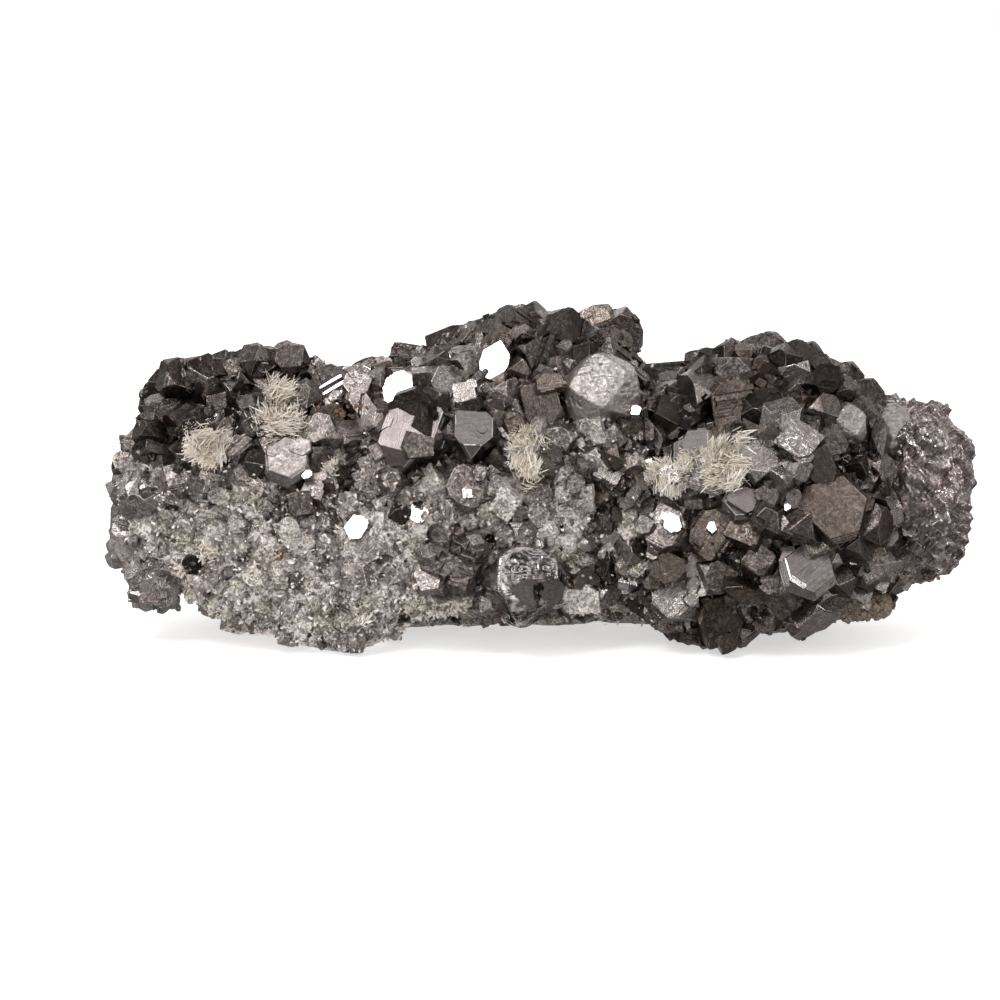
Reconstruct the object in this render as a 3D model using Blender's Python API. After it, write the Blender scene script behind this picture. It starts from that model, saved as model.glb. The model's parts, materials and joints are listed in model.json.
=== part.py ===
"""Galena specimen: a long block of host rock set with galena crystals, tufts of pale needle crystals and,
at its right end, a mass of broken galena. It stands on the flat underside of the rock.

Metres, +Z up. +X runs along the specimen and -Y is its display side. The origin ends up on the surface
that it stands on, under the middle of the whole specimen.

Crystals are placed as they are seen from the display side, a little above the horizon: across and up in
the display plane, with the rock's own surface giving the depth.
"""

import math
import random

import bmesh
import bpy
import numpy as np
from mathutils import Matrix, Quaternion, Vector, noise
from mathutils.bvhtree import BVHTree

MM = 0.001
GAP = 0.3  # clearance between neighbouring solids
LEFT_END, RIGHT_END = -119.0, 112.0  # of the rock, along X
DISPLAY_TILT = math.radians(10)  # the display direction, above the horizon
TO_VIEWER = Vector((0, -math.cos(DISPLAY_TILT), math.sin(DISPLAY_TILT)))
UP_DISPLAY = Vector((0, math.sin(DISPLAY_TILT), math.cos(DISPLAY_TILT)))
FRONT_FOOT_Y = -30.0  # where the front feet meet the surface, which is "up 0" in the display plane
EYE_ACROSS, EYE_UP, EYE_DISTANCE = -11.0, 42.0, 750.0  # the viewing point, straight out from the display plane
FAR = 300.0
FLOOR_CLEARANCE = 0.4  # only the rock rests on the surface; the crystals stop just above it

# The rock's outline along X, in millimetres: x, top, bottom at the front, front depth, back depth, and
# how far the section leans back (its foot comes forward and its top goes back).
ROCK_STATIONS = (
    (-119, 40, 28, 3, 4, 0),
    (-115, 54, 18, 11, 12, 1),
    (-108, 65, 15, 18, 20, 2),
    (-98, 69, 11, 23, 26, 4),
    (-88, 71, 7, 27, 30, 5),
    (-76, 75, 3, 30, 32, 6),
    (-62, 75, -2, 32, 33, 6),
    (-48, 73, -3, 33, 34, 5),
    (-38, 77, 3, 33, 34, 4),
    (-24, 82, 8, 32, 35, 3),
    (-10, 88, 8, 31, 35, 3),
    (4, 88, 8, 31, 35, 3),
    (16, 86, 10, 29, 34, 2),
    (25, 77, 12, 28, 34, 1),
    (33, 71, 8, 27, 33, 0),
    (43, 72, -3, 31, 33, 0),
    (54, 77, -2, 35, 34, 0),
    (66, 80, 8, 38, 34, 0),
    (78, 78, 10, 38, 32, 0),
    (90, 71, 11, 32, 28, 0),
    (100, 64, 13, 24, 22, 0),
    (107, 56, 18, 15, 14, 0),
    (112, 46, 30, 3, 3, 0),
)
ROCK_RINGS, ROCK_SIDES = 50, 32
BACK_SINK = 5.0  # how far the rough underside would reach below the surface before it is cut flat

# How much of a corner an octahedral face takes: 1 leaves a sharp cube, 2/3 makes a cuboctahedron.
BLOCK, MIXED, DOME = 0.86, 0.74, 0.64
TABLET = 0.0

# name, across, up, width, height, habit, turn and tip of the main face, roll about it (degrees), and how
# far the middle of that face stands out from the rock.
CRYSTALS = (
    ("dome_crystal", 18.5, 77.5, 22, 18.5, DOME, -6, 34, 12, 9),
    ("split_face_crystal", -35.5, 63.5, 20, 15, MIXED, -4, 37, 30, 8),
    ("big_silver_crystal", -1.5, 22, 20, 18.5, MIXED, 8, 30, 38, 8),
    ("hexagon_plate", 86.5, 41, 16.5, 16.5, TABLET, 6, 12, 0, 7),
    ("mauve_hexagon", 79, 23.5, 13.5, 13.5, TABLET, 12, 36, 20, 7),
    ("left_shoulder_block", -93.5, 74, 22, 14, BLOCK, -6, 14, 6, 5),
    ("black_crown_crystal", 25.5, 89.5, 13.5, 13, MIXED, 22, 2, 25, 4),
    ("mottled_peak_crystal", 65, 85.5, 19, 10.5, MIXED, 6, 24, 20, 3),
    ("grey_twin_right", 102.5, 64.5, 13.5, 17.5, DOME, 6, 34, -20, 7),
    ("grey_twin_left", 91, 66.5, 9, 12.5, DOME, 8, 33, 5, 6),
    ("toe_crystal", 53.5, 8, 11.5, 14, MIXED, 10, 4, 25, 6),
    ("right_brown_crystal", 58, 69, 11.5, 16.5, BLOCK, -6, 18, 10, 6),
    ("crown_top_plate", -3.5, 95, 15.5, 9, TABLET, 8, 52, 15, 3),
    ("crown_ridge_crystal", 17, 93.5, 11, 12, MIXED, -25, 26, 30, 3),
    ("notch_striped_block", 37, 76.5, 17, 11.5, BLOCK, 4, 8, 4, 5),
    ("white_face_crystal", -38, 74.5, 11, 11, MIXED, -13, 32, 15, 5),
    ("tall_white_face_crystal", -11.5, 83.5, 8, 12, MIXED, -13, 32, -10, 5),
    ("crown_left_crystal", -16.5, 91.5, 11, 8, MIXED, -8, 44, 10, 3.5),
    ("heart_face_crystal", -17.5, 64, 11.5, 12, MIXED, 6, 38, 40, 6.5),
    ("striped_block", -57, 75.5, 14.5, 10.5, BLOCK, 8, 20, -28, 5),
    ("second_peak_block", -75.5, 77, 13, 15, BLOCK, 4, 6, 4, 4),
    ("left_edge_block", -106, 62, 14, 15.5, BLOCK, -16, 10, -6, 4),
    ("left_peak_block", -107, 73, 10, 9, BLOCK, -24, 20, 20, 3),
    ("pale_chip", -71, 55, 13.5, 10, TABLET, -6, 36, 25, 5),
    ("left_flat_plate", -111.5, 44.5, 14, 7, BLOCK, -8, 18, 4, 3),
    ("left_rim_crystal", -119, 35.5, 9, 19, BLOCK, -48, 8, 6, 2.5),
    ("left_low_block", -111, 19.5, 11, 10.5, BLOCK, -18, 14, 5, 3),
    ("rust_block", -59.5, 66.5, 9.5, 7, BLOCK, -6, 8, 8, 4),
    ("grey_bar_crystal", -48.5, 69.5, 6, 13, BLOCK, 16, 34, 28, 5),
    ("crest_block_left", -46, 80.5, 8, 8, MIXED, 22, 24, 12, 3),
    ("crest_block_right", -36.5, 84, 10, 8, BLOCK, -10, 16, -8, 3),
    ("dark_knob_crystal", -27, 79, 9.5, 10, MIXED, 4, 2, 30, 3.5),
    ("centre_dark_crystal", 3.5, 85, 12, 9.5, BLOCK, 24, 12, 20, 4),
    ("gable_crystal", 2, 71, 10, 12, BLOCK, -8, 6, 16, 6),
    ("crest_plate_right", 48.5, 82.5, 10, 8, BLOCK, -16, 24, 12, 3),
    ("hooded_crystal", 57.5, 79.5, 11, 9, DOME, -8, 8, 0, 3.5),
    ("round_dark_crystal", 80, 83, 10, 10.5, DOME, 20, 4, 15, 3),
    ("right_shoulder_crystal", 90, 78, 10, 9, MIXED, 16, 16, 10, 3),
    ("mauve_face_crystal", 45.5, 57, 10.5, 11, TABLET, 2, 38, 10, 6),
    ("fan_striped_crystal", 75.5, 61, 11, 9, BLOCK, -12, 22, -30, 6),
    ("ridge_block", 95, 50, 12, 9, BLOCK, 8, 10, -8, 6),
    ("mauve_plate_crystal", 60, 43, 11, 9, TABLET, 4, 38, -12, 6.5),
    ("veined_crystal", 51, 34, 12, 12.5, MIXED, -8, 14, 10, 5),
    ("ringed_crystal", 37, 36, 11, 13.5, MIXED, -12, 31, 20, 5),
    ("dark_pool_crystal", 64.5, 26, 10, 10, DOME, -4, 12, 10, 5),
    ("lower_faceted_crystal", 40, 15, 12, 11.5, MIXED, -14, 22, 4, 5),
    ("rough_round_crystal", -22.5, 27, 16, 16, DOME, 6, 14, 15, 6),
    ("purple_face_crystal", -19, 47.5, 11, 12, MIXED, 6, 24, 20, 5),
    ("low_centre_crystal", -11.5, 16, 10, 10, MIXED, -8, 18, 12, 4),
)

# The same columns for the crystals of the far side, seen from behind: across still runs along +X.
BACK_CRYSTALS = (
    ("back_left_crystal", -62, 46, 16, 14, BLOCK, 10, 20, 18, 5),
    ("back_centre_crystal", 8, 58, 14, 13, MIXED, -8, 26, 30, 5),
    ("back_right_crystal", 64, 38, 15, 15, MIXED, 6, 16, -14, 5),
)

# name, across, up, radius of the tuft of needles.
TUFTS = (
    ("needle_tuft_upper_left", -72.5, 67, 7.5),
    ("needle_tuft_left", -95, 57, 6),
    ("needle_tuft_centre", -2, 56, 5.5),
    ("needle_tuft_right", 40, 50, 5.5),
    ("needle_tuft_right_inner", 55, 53.5, 6),
)
NEEDLE_VALLEY = 0.6  # depth of the valleys between needles, as a share of the radius

# The mass of broken galena at the right end: centre, half sizes, and the height of its cleavage steps.
MASS_CENTRE, MASS_HALF = (105, -4, 41), (17.5, 25, 26)
CLEAVAGE_STEP = 3.6

# The brown band low on the right: across, up, half sizes.
BAND_PLACE, BAND_HALF = (88, 13), (15, 7, 4.5)

COLOURS = {
    "host_rock": ((0.30, 0.28, 0.25), 0.85, 0.0),
    "galena": ((0.33, 0.30, 0.29), 0.28, 1.0),
    "needles": ((0.62, 0.60, 0.50), 0.45, 0.0),
    "siderite": ((0.36, 0.27, 0.17), 0.7, 0.0),
}

CUBE_NORMALS = [Vector(s * Vector(a)) for a in ((1, 0, 0), (0, 1, 0), (0, 0, 1)) for s in (1, -1)]
OCTAHEDRON_NORMALS = [
    Vector((x, y, z)).normalized() for x in (1, -1) for y in (1, -1) for z in (1, -1)
]


def clear_scene():
    for thing in list(bpy.data.objects):
        bpy.data.objects.remove(thing)


def material(name):
    colour, roughness, metallic = COLOURS[name]
    made = bpy.data.materials.new(name)
    made.use_nodes = True
    shader = made.node_tree.nodes["Principled BSDF"]
    shader.inputs["Base Color"].default_value = (*colour, 1)
    shader.inputs["Roughness"].default_value = roughness
    shader.inputs["Metallic"].default_value = metallic
    return made


def add_object(name, bm, collection, finish=None):
    """An object in metres from a bmesh in millimetres."""
    bmesh.ops.scale(bm, vec=(MM, MM, MM), verts=bm.verts)
    mesh = bpy.data.meshes.new(name)
    bm.to_mesh(mesh)
    bm.free()
    thing = bpy.data.objects.new(name, mesh)
    collection.objects.link(thing)
    if finish:
        mesh.materials.append(finish)
    return thing


def station(x, column):
    """The rock's outline at x, in a straight line between the stations."""
    table = np.array(ROCK_STATIONS, float)
    return float(np.interp(x, table[:, 0], table[:, column]))


def smooth_step(value, low, high):
    t = min(max((value - low) / (high - low), 0), 1)
    return t * t * (3 - 2 * t)


def rock_point(along, angle):
    """A point of the loft: along is -1 to 1 from end to end, angle runs round the X axis from the front."""
    x = LEFT_END + (RIGHT_END - LEFT_END) * (along + 1) / 2
    top, bottom, front, back, lean = (station(x, column) for column in range(1, 6))
    middle = bottom + 0.45 * (top - bottom)
    forward, upward = math.cos(angle), math.sin(angle)
    # A squared-off oval: powers under 1 push the section out towards its corners, less so on top.
    y_power, z_power = (0.86, 0.9) if upward > 0 else (0.62, 0.55)
    y_share = math.copysign(abs(forward) ** y_power, forward)
    z_share = math.copysign(abs(upward) ** z_power, upward)
    y = -front * y_share if forward > 0 else -back * y_share
    base_share = 1 - smooth_step(abs(x + 5), 72, 92)
    underside = bottom - (max(bottom, 0) + BACK_SINK) * base_share * smooth_step(y, 2, 16)
    z = middle + (top - middle if upward > 0 else middle - underside) * z_share
    y += lean * (z - middle) / (0.5 * (top - bottom))
    point = Vector((x, y, z))
    outward = Vector((0.35 * along, y, z - middle)).normalized()
    rough = 2.4 * noise.noise(point / 17) + 1.8 * noise.noise(point / 7)
    blocky = 2.6 * (noise.cell(point / 6.5) - 0.5)
    return point + outward * (rough + blocky)


def rock_mesh(grow=0.0):
    """The host rock: a ball stretched over the stations, cut flat underneath."""
    bm = bmesh.new()
    bmesh.ops.create_uvsphere(bm, u_segments=ROCK_SIDES, v_segments=ROCK_RINGS, radius=1)
    for vert in bm.verts:
        along = max(-1, min(1, vert.co.z))
        angle = math.atan2(vert.co.y, vert.co.x)
        vert.co = rock_point(along, angle)
    bmesh.ops.recalc_face_normals(bm, faces=bm.faces)
    bm.normal_update()
    if grow:
        for vert, normal in [(v, v.normal.copy()) for v in bm.verts]:
            vert.co += grow * normal
    flat = bmesh.ops.bisect_plane(
        bm,
        geom=bm.verts[:] + bm.edges[:] + bm.faces[:],
        plane_co=(0, 0, -grow),
        plane_no=(0, 0, -1),
        clear_outer=True,
    )
    rim = [e for e in flat["geom_cut"] if isinstance(e, bmesh.types.BMEdge)]
    bmesh.ops.edgeloop_fill(bm, edges=rim)
    bmesh.ops.triangulate(bm, faces=bm.faces)
    return bm


def crystal_planes(width, height, habit, chance):
    """(normal, distance) of the faces of a galena crystal, its main face along -Y of its own frame.

    A cube-octahedron mix has six cube faces and eight octahedral ones. A tablet is flattened between two
    octahedral faces, which makes it a hexagonal plate."""
    half = Vector((width / 2, 0.42 * (width + height) / 2, height / 2))
    if habit == TABLET:
        to_front = Vector((1, 1, 1)).normalized().rotation_difference(Vector((0, -1, 0)))
        reach = (width + height) / 4
        planes = []
        for normal in CUBE_NORMALS:
            planes.append((to_front @ normal, reach * (0.92 + 0.16 * chance.random())))
        for normal in OCTAHEDRON_NORMALS:
            turned = to_front @ normal
            if abs(turned.y) > 0.9:
                planes.append((turned, 0.42 * reach))
            else:
                planes.append((turned, reach * (0.92 + 0.14 * chance.random())))
        return planes
    planes = [
        (n, abs(n.dot(half)) * (1 if n.y < -0.5 else 0.94 + 0.12 * chance.random()))
        for n in CUBE_NORMALS
    ]
    corner = (half.x + half.y + half.z) / math.sqrt(3)
    planes += [(n, corner * habit * (0.94 + 0.12 * chance.random())) for n in OCTAHEDRON_NORMALS]
    return planes


def cut_blank(planes, blank=80.0, grow=0.0):
    """A convex solid, cut from a cube blank by one plane after another."""
    bm = bmesh.new()
    bmesh.ops.create_cube(bm, size=blank)
    for normal, distance in planes:
        cut = bmesh.ops.bisect_plane(
            bm,
            geom=bm.verts[:] + bm.edges[:] + bm.faces[:],
            plane_co=normal * (distance + grow),
            plane_no=normal,
            clear_outer=True,
        )
        rim = [e for e in cut["geom_cut"] if isinstance(e, bmesh.types.BMEdge)]
        if rim:
            bmesh.ops.edgeloop_fill(bm, edges=rim)
    bmesh.ops.remove_doubles(bm, verts=bm.verts, dist=0.01)
    bmesh.ops.recalc_face_normals(bm, faces=bm.faces)
    return bm


def facing(turn, tip):
    """The direction turned to the right of the display direction and tipped up from the horizon."""
    turn, tip = math.radians(turn), math.radians(tip)
    return Vector((math.sin(turn) * math.cos(tip), -math.cos(turn) * math.cos(tip), math.sin(tip)))


def on_rock(rock, across, up, behind=False):
    """The rock's surface at a point of the display plane, or level with the nearest rock.

    The display side is looked at from the viewing point, and the far side level from behind."""
    if behind:
        start, toward = Vector((across, FAR, up)), Vector((0, -1, 0))
    else:
        lift = FRONT_FOOT_Y * math.sin(DISPLAY_TILT)
        point = Vector((across, 0, 0)) + UP_DISPLAY * (up + lift)
        start = Vector((EYE_ACROSS, 0, 0)) + UP_DISPLAY * (EYE_UP + lift) + TO_VIEWER * EYE_DISTANCE
        toward = (point - start).normalized()
    hit = rock.ray_cast(start, toward)[0]
    if hit is None:
        hit = rock.find_nearest(point if not behind else start + toward * FAR)[0]
    return start + toward * (hit - start).dot(toward)


def place_crystal(rock, row, chance, behind=False):
    """A crystal's planes and the matrix that sets it in the rock."""
    name, across, up, width, height, habit, turn, tip, roll, proud = row
    planes = crystal_planes(width, height, habit, chance)
    normal = facing(turn, tip)
    outward = TO_VIEWER
    if behind:
        normal.y = -normal.y
        outward = Vector((0, 1, 0))
    front = max(planes, key=lambda plane: -plane[0].y)[1]
    rotation = Quaternion(normal, math.radians(roll)) @ upright(normal)
    centre = on_rock(rock, across, up, behind) + outward * proud - normal * front
    return planes, Matrix.Translation(centre) @ rotation.to_matrix().to_4x4()


def upright(normal):
    """Turns -Y to the normal and keeps Z as near to up as it can."""
    side = (-normal).cross(Vector((0, 0, 1))).normalized()
    upward = side.cross(-normal)
    return Matrix((side, -normal, upward)).transposed().to_quaternion()


def boolean(target, cutter):
    """Cuts the target by the cutter and keeps the largest body that is left."""
    cut = target.modifiers.new("cut", "BOOLEAN")
    cut.object = cutter
    cut.operation = "DIFFERENCE"
    cut.solver = "EXACT"
    graph = bpy.context.evaluated_depsgraph_get()
    result = bpy.data.meshes.new_from_object(target.evaluated_get(graph))
    target.modifiers.remove(cut)
    target.data = result


def keep_largest_body(thing):
    """Drops the loose chips that a cut may leave beside the main body."""
    bm = bmesh.new()
    bm.from_mesh(thing.data)
    bmesh.ops.remove_doubles(bm, verts=bm.verts, dist=0.00001)
    left, bodies = set(bm.verts), []
    while left:
        queue, body = [left.pop()], set()
        while queue:
            vert = queue.pop()
            body.add(vert)
            for edge in vert.link_edges:
                other = edge.other_vert(vert)
                if other in left:
                    left.discard(other)
                    queue.append(other)
        bodies.append(body)
    main = max(bodies, key=len)
    bmesh.ops.delete(bm, geom=[v for v in bm.verts if v not in main], context="VERTS")
    bm.to_mesh(thing.data)
    bm.free()


def boxes_meet(one, other):
    """Whether the world boxes of two objects overlap."""
    spans = []
    for thing in (one, other):
        corners = np.array([thing.matrix_world @ Vector(c) for c in thing.bound_box])
        spans.append((corners.min(0), corners.max(0)))
    (low_a, high_a), (low_b, high_b) = spans
    return bool((low_a < high_b).all() and (low_b < high_a).all())


def tuft_mesh(radius):
    """A burst of needles: a ball whose vertices stand out in turn as points and valleys."""
    coarse = bmesh.new()
    bmesh.ops.create_icosphere(coarse, subdivisions=1, radius=radius)
    tips = [vert.co.copy() for vert in coarse.verts]
    coarse.free()
    bm = bmesh.new()
    bmesh.ops.create_icosphere(bm, subdivisions=2, radius=radius)
    for vert in bm.verts:
        is_tip = min((vert.co - tip).length for tip in tips) < 0.05 * radius
        vert.co *= 1 if is_tip else NEEDLE_VALLEY
    return bm


def lump_mesh(centre, half, square, step, subdivisions, grow=0.0):
    """A ball squared towards a block, its surface raised cell by cell in steps."""
    bm = bmesh.new()
    bmesh.ops.create_icosphere(bm, subdivisions=subdivisions, radius=1)
    for vert in bm.verts:
        squared = [math.copysign(abs(c) ** square, c) for c in vert.co]
        point = Vector([c * h for c, h in zip(squared, half)])
        raised = step * (noise.cell(point / 7) - 0.5) + 1.2 * noise.noise(point / 6)
        vert.co = point + point.normalized() * (raised + grow) + centre
    return bm


def stand_clear(bm):
    """Trims a crystal just above the surface that the specimen stands on."""
    cut = bmesh.ops.bisect_plane(
        bm,
        geom=bm.verts[:] + bm.edges[:] + bm.faces[:],
        plane_co=(0, 0, FLOOR_CLEARANCE),
        plane_no=(0, 0, -1),
        clear_outer=True,
    )
    rim = [e for e in cut["geom_cut"] if isinstance(e, bmesh.types.BMEdge)]
    if rim:
        bmesh.ops.edgeloop_fill(bm, edges=rim)


def centre_on_origin(things):
    """Moves the whole specimen so that the origin lies under its middle."""
    bpy.context.view_layer.update()
    corners = np.array([t.matrix_world @ Vector(c) for t in things for c in t.bound_box])
    low, high = corners.min(0), corners.max(0)
    shift = Vector((-(low[0] + high[0]) / 2, -(low[1] + high[1]) / 2, -low[2]))
    for thing in things:
        thing.data.transform(Matrix.Translation(shift))
        thing.data.update()


def build():
    clear_scene()
    specimen = bpy.data.collections.new("galena_specimen")
    cutters = bpy.data.collections.new("cutters")
    for collection in (specimen, cutters):
        bpy.context.scene.collection.children.link(collection)
    rock_finish, galena, needles, siderite = (material(name) for name in COLOURS)
    chance = random.Random(7)

    rock_bm = rock_mesh()
    surface = BVHTree.FromBMesh(rock_bm)
    rock = add_object("host_rock", rock_bm, specimen, rock_finish)
    grown_rock = add_object("cutter_rock", rock_mesh(GAP), cutters)

    # Each entry is a solid and the cutter that clears a gap round it. Earlier solids cut later ones.
    made = []
    rows = [(row, False) for row in CRYSTALS] + [(row, True) for row in BACK_CRYSTALS]
    for row, behind in rows:
        planes, matrix = place_crystal(surface, row, chance, behind)
        exact, grown = cut_blank(planes), cut_blank(planes, grow=GAP)
        exact.transform(matrix)
        grown.transform(matrix)
        stand_clear(exact)
        crystal = add_object(row[0], exact, specimen, galena)
        made.append((crystal, add_object("cutter_" + row[0], grown, cutters)))

    mass = (Vector(MASS_CENTRE), MASS_HALF, 0.8, CLEAVAGE_STEP, 3)
    broken = add_object("broken_galena_mass", lump_mesh(*mass), specimen, galena)
    made.append((broken, add_object("cutter_mass", lump_mesh(*mass, grow=GAP), cutters)))

    band_centre = on_rock(surface, *BAND_PLACE)
    band = (band_centre, BAND_HALF, 0.9, 0.8, 2)
    brown = add_object("brown_band", lump_mesh(*band), specimen, siderite)
    made.append((brown, add_object("cutter_band", lump_mesh(*band, grow=GAP), cutters)))

    tufts = []
    for name, across, up, radius in TUFTS:
        bm = tuft_mesh(radius)
        bm.transform(Matrix.Translation(on_rock(surface, across, up) + TO_VIEWER * 0.3 * radius))
        tufts.append(add_object(name, bm, specimen, needles))

    bpy.context.view_layer.update()
    for cutter in cutters.objects:
        cutter.display_type = "WIRE"
        cutter.hide_render = True
    for index, (solid, _) in enumerate(made):
        for _, cutter in made[:index]:
            if boxes_meet(solid, cutter):
                boolean(solid, cutter)
        keep_largest_body(solid)
    for _, cutter in made:
        boolean(rock, cutter)
    keep_largest_body(rock)
    for tuft in tufts:
        for _, cutter in made:
            if boxes_meet(tuft, cutter):
                boolean(tuft, cutter)
        boolean(tuft, grown_rock)
        keep_largest_body(tuft)
    for cutter in list(cutters.objects):
        bpy.data.objects.remove(cutter)
    centre_on_origin(list(specimen.objects))


build()
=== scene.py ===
"""Galena specimen: lead-grey crystals, tufts of pale needle quartz and a sparkling druse on a long block
of rock, with a mass of broken galena at its right end.

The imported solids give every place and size. Each named crystal is rebuilt from its own solid's planes,
with growth layers and side crystals, and smaller crystals grow on the rock between them. Shapes are worked
out in millimetres and go into the meshes in metres. +X runs along the specimen and -Y is its display side.
"""

import json
from itertools import combinations
from math import cos, pi, radians, sin
from typing import NamedTuple

import bmesh
import bpy
import numpy as np
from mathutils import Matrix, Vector
from mathutils.bvhtree import BVHTree


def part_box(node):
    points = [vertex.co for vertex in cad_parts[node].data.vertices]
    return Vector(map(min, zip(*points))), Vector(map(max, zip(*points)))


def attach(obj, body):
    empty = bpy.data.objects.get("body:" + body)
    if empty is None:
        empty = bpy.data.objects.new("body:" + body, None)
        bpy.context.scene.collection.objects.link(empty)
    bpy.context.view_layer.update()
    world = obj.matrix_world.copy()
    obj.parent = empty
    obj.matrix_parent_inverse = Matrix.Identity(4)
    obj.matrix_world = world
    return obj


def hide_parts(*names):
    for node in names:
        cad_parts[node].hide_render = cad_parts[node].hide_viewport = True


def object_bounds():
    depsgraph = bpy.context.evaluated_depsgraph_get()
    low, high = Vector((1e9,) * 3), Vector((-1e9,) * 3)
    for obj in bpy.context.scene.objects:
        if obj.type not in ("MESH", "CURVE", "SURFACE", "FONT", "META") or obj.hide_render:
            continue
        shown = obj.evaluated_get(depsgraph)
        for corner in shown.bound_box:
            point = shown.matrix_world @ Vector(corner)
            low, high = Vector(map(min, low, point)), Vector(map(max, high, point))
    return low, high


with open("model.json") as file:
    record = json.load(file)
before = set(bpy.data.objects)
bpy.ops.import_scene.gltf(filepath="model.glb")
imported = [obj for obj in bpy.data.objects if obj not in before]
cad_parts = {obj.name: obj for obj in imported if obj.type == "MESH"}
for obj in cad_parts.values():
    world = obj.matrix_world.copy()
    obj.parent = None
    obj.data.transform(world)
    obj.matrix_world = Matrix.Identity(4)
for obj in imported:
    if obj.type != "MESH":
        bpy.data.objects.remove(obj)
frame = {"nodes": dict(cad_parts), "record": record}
CAD_BOX = [list(corner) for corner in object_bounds()]
NODES = frame["nodes"]
SUBPARTS = {part["node"]: part["material_slot"] for part in frame["record"]["subparts"]}
GALENA_NODES = [node for node, slot in SUBPARTS.items() if slot == "galena"]
CRYSTALS = [node for node in GALENA_NODES if node != "broken_galena_mass"]
MM = 0.001
BODY = "root"

# How finely the solids that get an uneven surface are remeshed, in millimetres.
ROCK_VOXEL, MASS_VOXEL, BAND_VOXEL, ROUNDED_VOXEL = 1.04, 0.46, 0.5, 0.36

# How many places are scattered on the rock, and how many of those open to the air are offered to the
# middle-sized and then to the small crystals. The rest go to the druse, which also gets places on the
# coated crystals and at the feet of the galena pieces.
ROCK_PLACES, MIDDLE_PLACES, SMALL_PLACES = 70000, 14000, 6000
COATED_PLACES, FOOT_PLACES = 24000, 26000

# How far a place has to look out freely to be open to the air, in millimetres.
OPEN_DISTANCE = 12.0

# Middle-sized crystals keep this share of their summed half sizes apart. Neighbours within a block of the
# rock this many millimetres wide can share one of this many orientations.
CLOSENESS, DOMAIN_WIDTH, ORIENTATIONS = 0.62, 15.0, 60

# How many bundles a tuft has, and how many needles a packed tuft and a small one have.
BUNDLES, NEEDLE_COUNT, SMALL_NEEDLE_COUNT = 26, 3200, 700

# How many grains the brown band, each patch of rust and each patch of brown carbonate have.
BAND_GRAINS, RUST_GRAINS, BROWN_GRAINS = 700, 30, 90

# A point is on a plane if it is within this many millimetres of it.
ON_PLANE = 4e-3

CUBE = np.array([[1, 0, 0], [-1, 0, 0], [0, 1, 0], [0, -1, 0], [0, 0, 1], [0, 0, -1]], float)
OCTAHEDRON = np.array(
    [[x, y, z] for x in (1, -1) for y in (1, -1) for z in (1, -1)], float
) / np.sqrt(3)
CRYSTAL_NORMALS = np.vstack([CUBE, OCTAHEDRON])

# Crystals that are piles of plates, with the axis (0 for X, 1 for Y, 2 for Z) that they are piled along.
STACKED = {
    "striped_block": 0, "notch_striped_block": 2, "fan_striped_crystal": 1, "ridge_block": 2,
    "grey_bar_crystal": 0, "right_brown_crystal": 2, "veined_crystal": 1, "centre_dark_crystal": 0,
}


class Shape(NamedTuple):
    """Flat faces as whole arrays: points in millimetres, the points of every face in one long row, how
    many corners each face has, each corner's place on its face, and a tone for each face."""

    points: np.ndarray
    corners: np.ndarray
    counts: np.ndarray
    lines: np.ndarray
    tone: np.ndarray


def unit(vectors):
    """The vectors at length 1."""
    return vectors / np.linalg.norm(vectors, axis=-1, keepdims=True)


def join(shapes):
    """Several shapes as one: their arrays end to end, with the point numbers moved along."""
    shapes = [shape for shape in shapes if shape is not None]
    starts = np.cumsum([0] + [len(shape.points) for shape in shapes[:-1]])
    return Shape(
        np.vstack([shape.points for shape in shapes]),
        np.concatenate([shape.corners + start for shape, start in zip(shapes, starts)]),
        np.concatenate([shape.counts for shape in shapes]),
        np.vstack([shape.lines for shape in shapes]),
        np.concatenate([shape.tone for shape in shapes]),
    )


# What crossings() has worked out, by the bytes of the normals.
CROSSINGS = {}


def crossings(normals):
    """Every choice of three planes that meet in a point, as three index arrays, with the three cross
    products of Cramer's rule over the volume of their normals. Kept for the next solid on the same
    normals."""
    key = normals.tobytes()
    if key not in CROSSINGS:
        trios = np.array(list(combinations(range(len(normals)), 3))).T
        a, b, c = normals[trios[0]], normals[trios[1]], normals[trios[2]]
        parts = np.stack([np.cross(b, c), np.cross(c, a), np.cross(a, b)])
        volume = (a * parts[0]).sum(1)
        meet = np.abs(volume) > 1e-3
        CROSSINGS[key] = trios[:, meet], parts[:, meet] / volume[meet, None]
    return CROSSINGS[key]


def hillocks(normals, distances, body, rng, count):
    """Low plates scattered over a crystal's faces: each is the crystal made small and uneven, its middle on
    a random place of a face, with only a fraction of a millimetre of it above any face of the crystal."""
    on_plane = np.abs(body.points @ normals.T - distances) < ON_PLANE
    wide = np.flatnonzero(on_plane.sum(0) > 2)
    reach = distances - normals @ body.points.mean(0)
    shapes = []
    for face in rng.choice(wide, count):
        rim = body.points[on_plane[:, face]]
        place = rng.dirichlet(np.full(len(rim), 0.7)) @ rim
        own = reach * rng.uniform(0.06, 0.26) * rng.uniform(0.6, 1.4, len(reach))
        own[face] = 1.0
        shapes.append((normals, np.minimum(normals @ place + own, distances + rng.uniform(0.05, 0.35))))
    return shapes


def crossed(one, other):
    """The cross product of two vectors, faster for a single pair than numpy's own."""
    (a, b, c), (x, y, z) = one, other
    return np.array([b * z - c * y, c * x - a * z, a * y - b * x])


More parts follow.
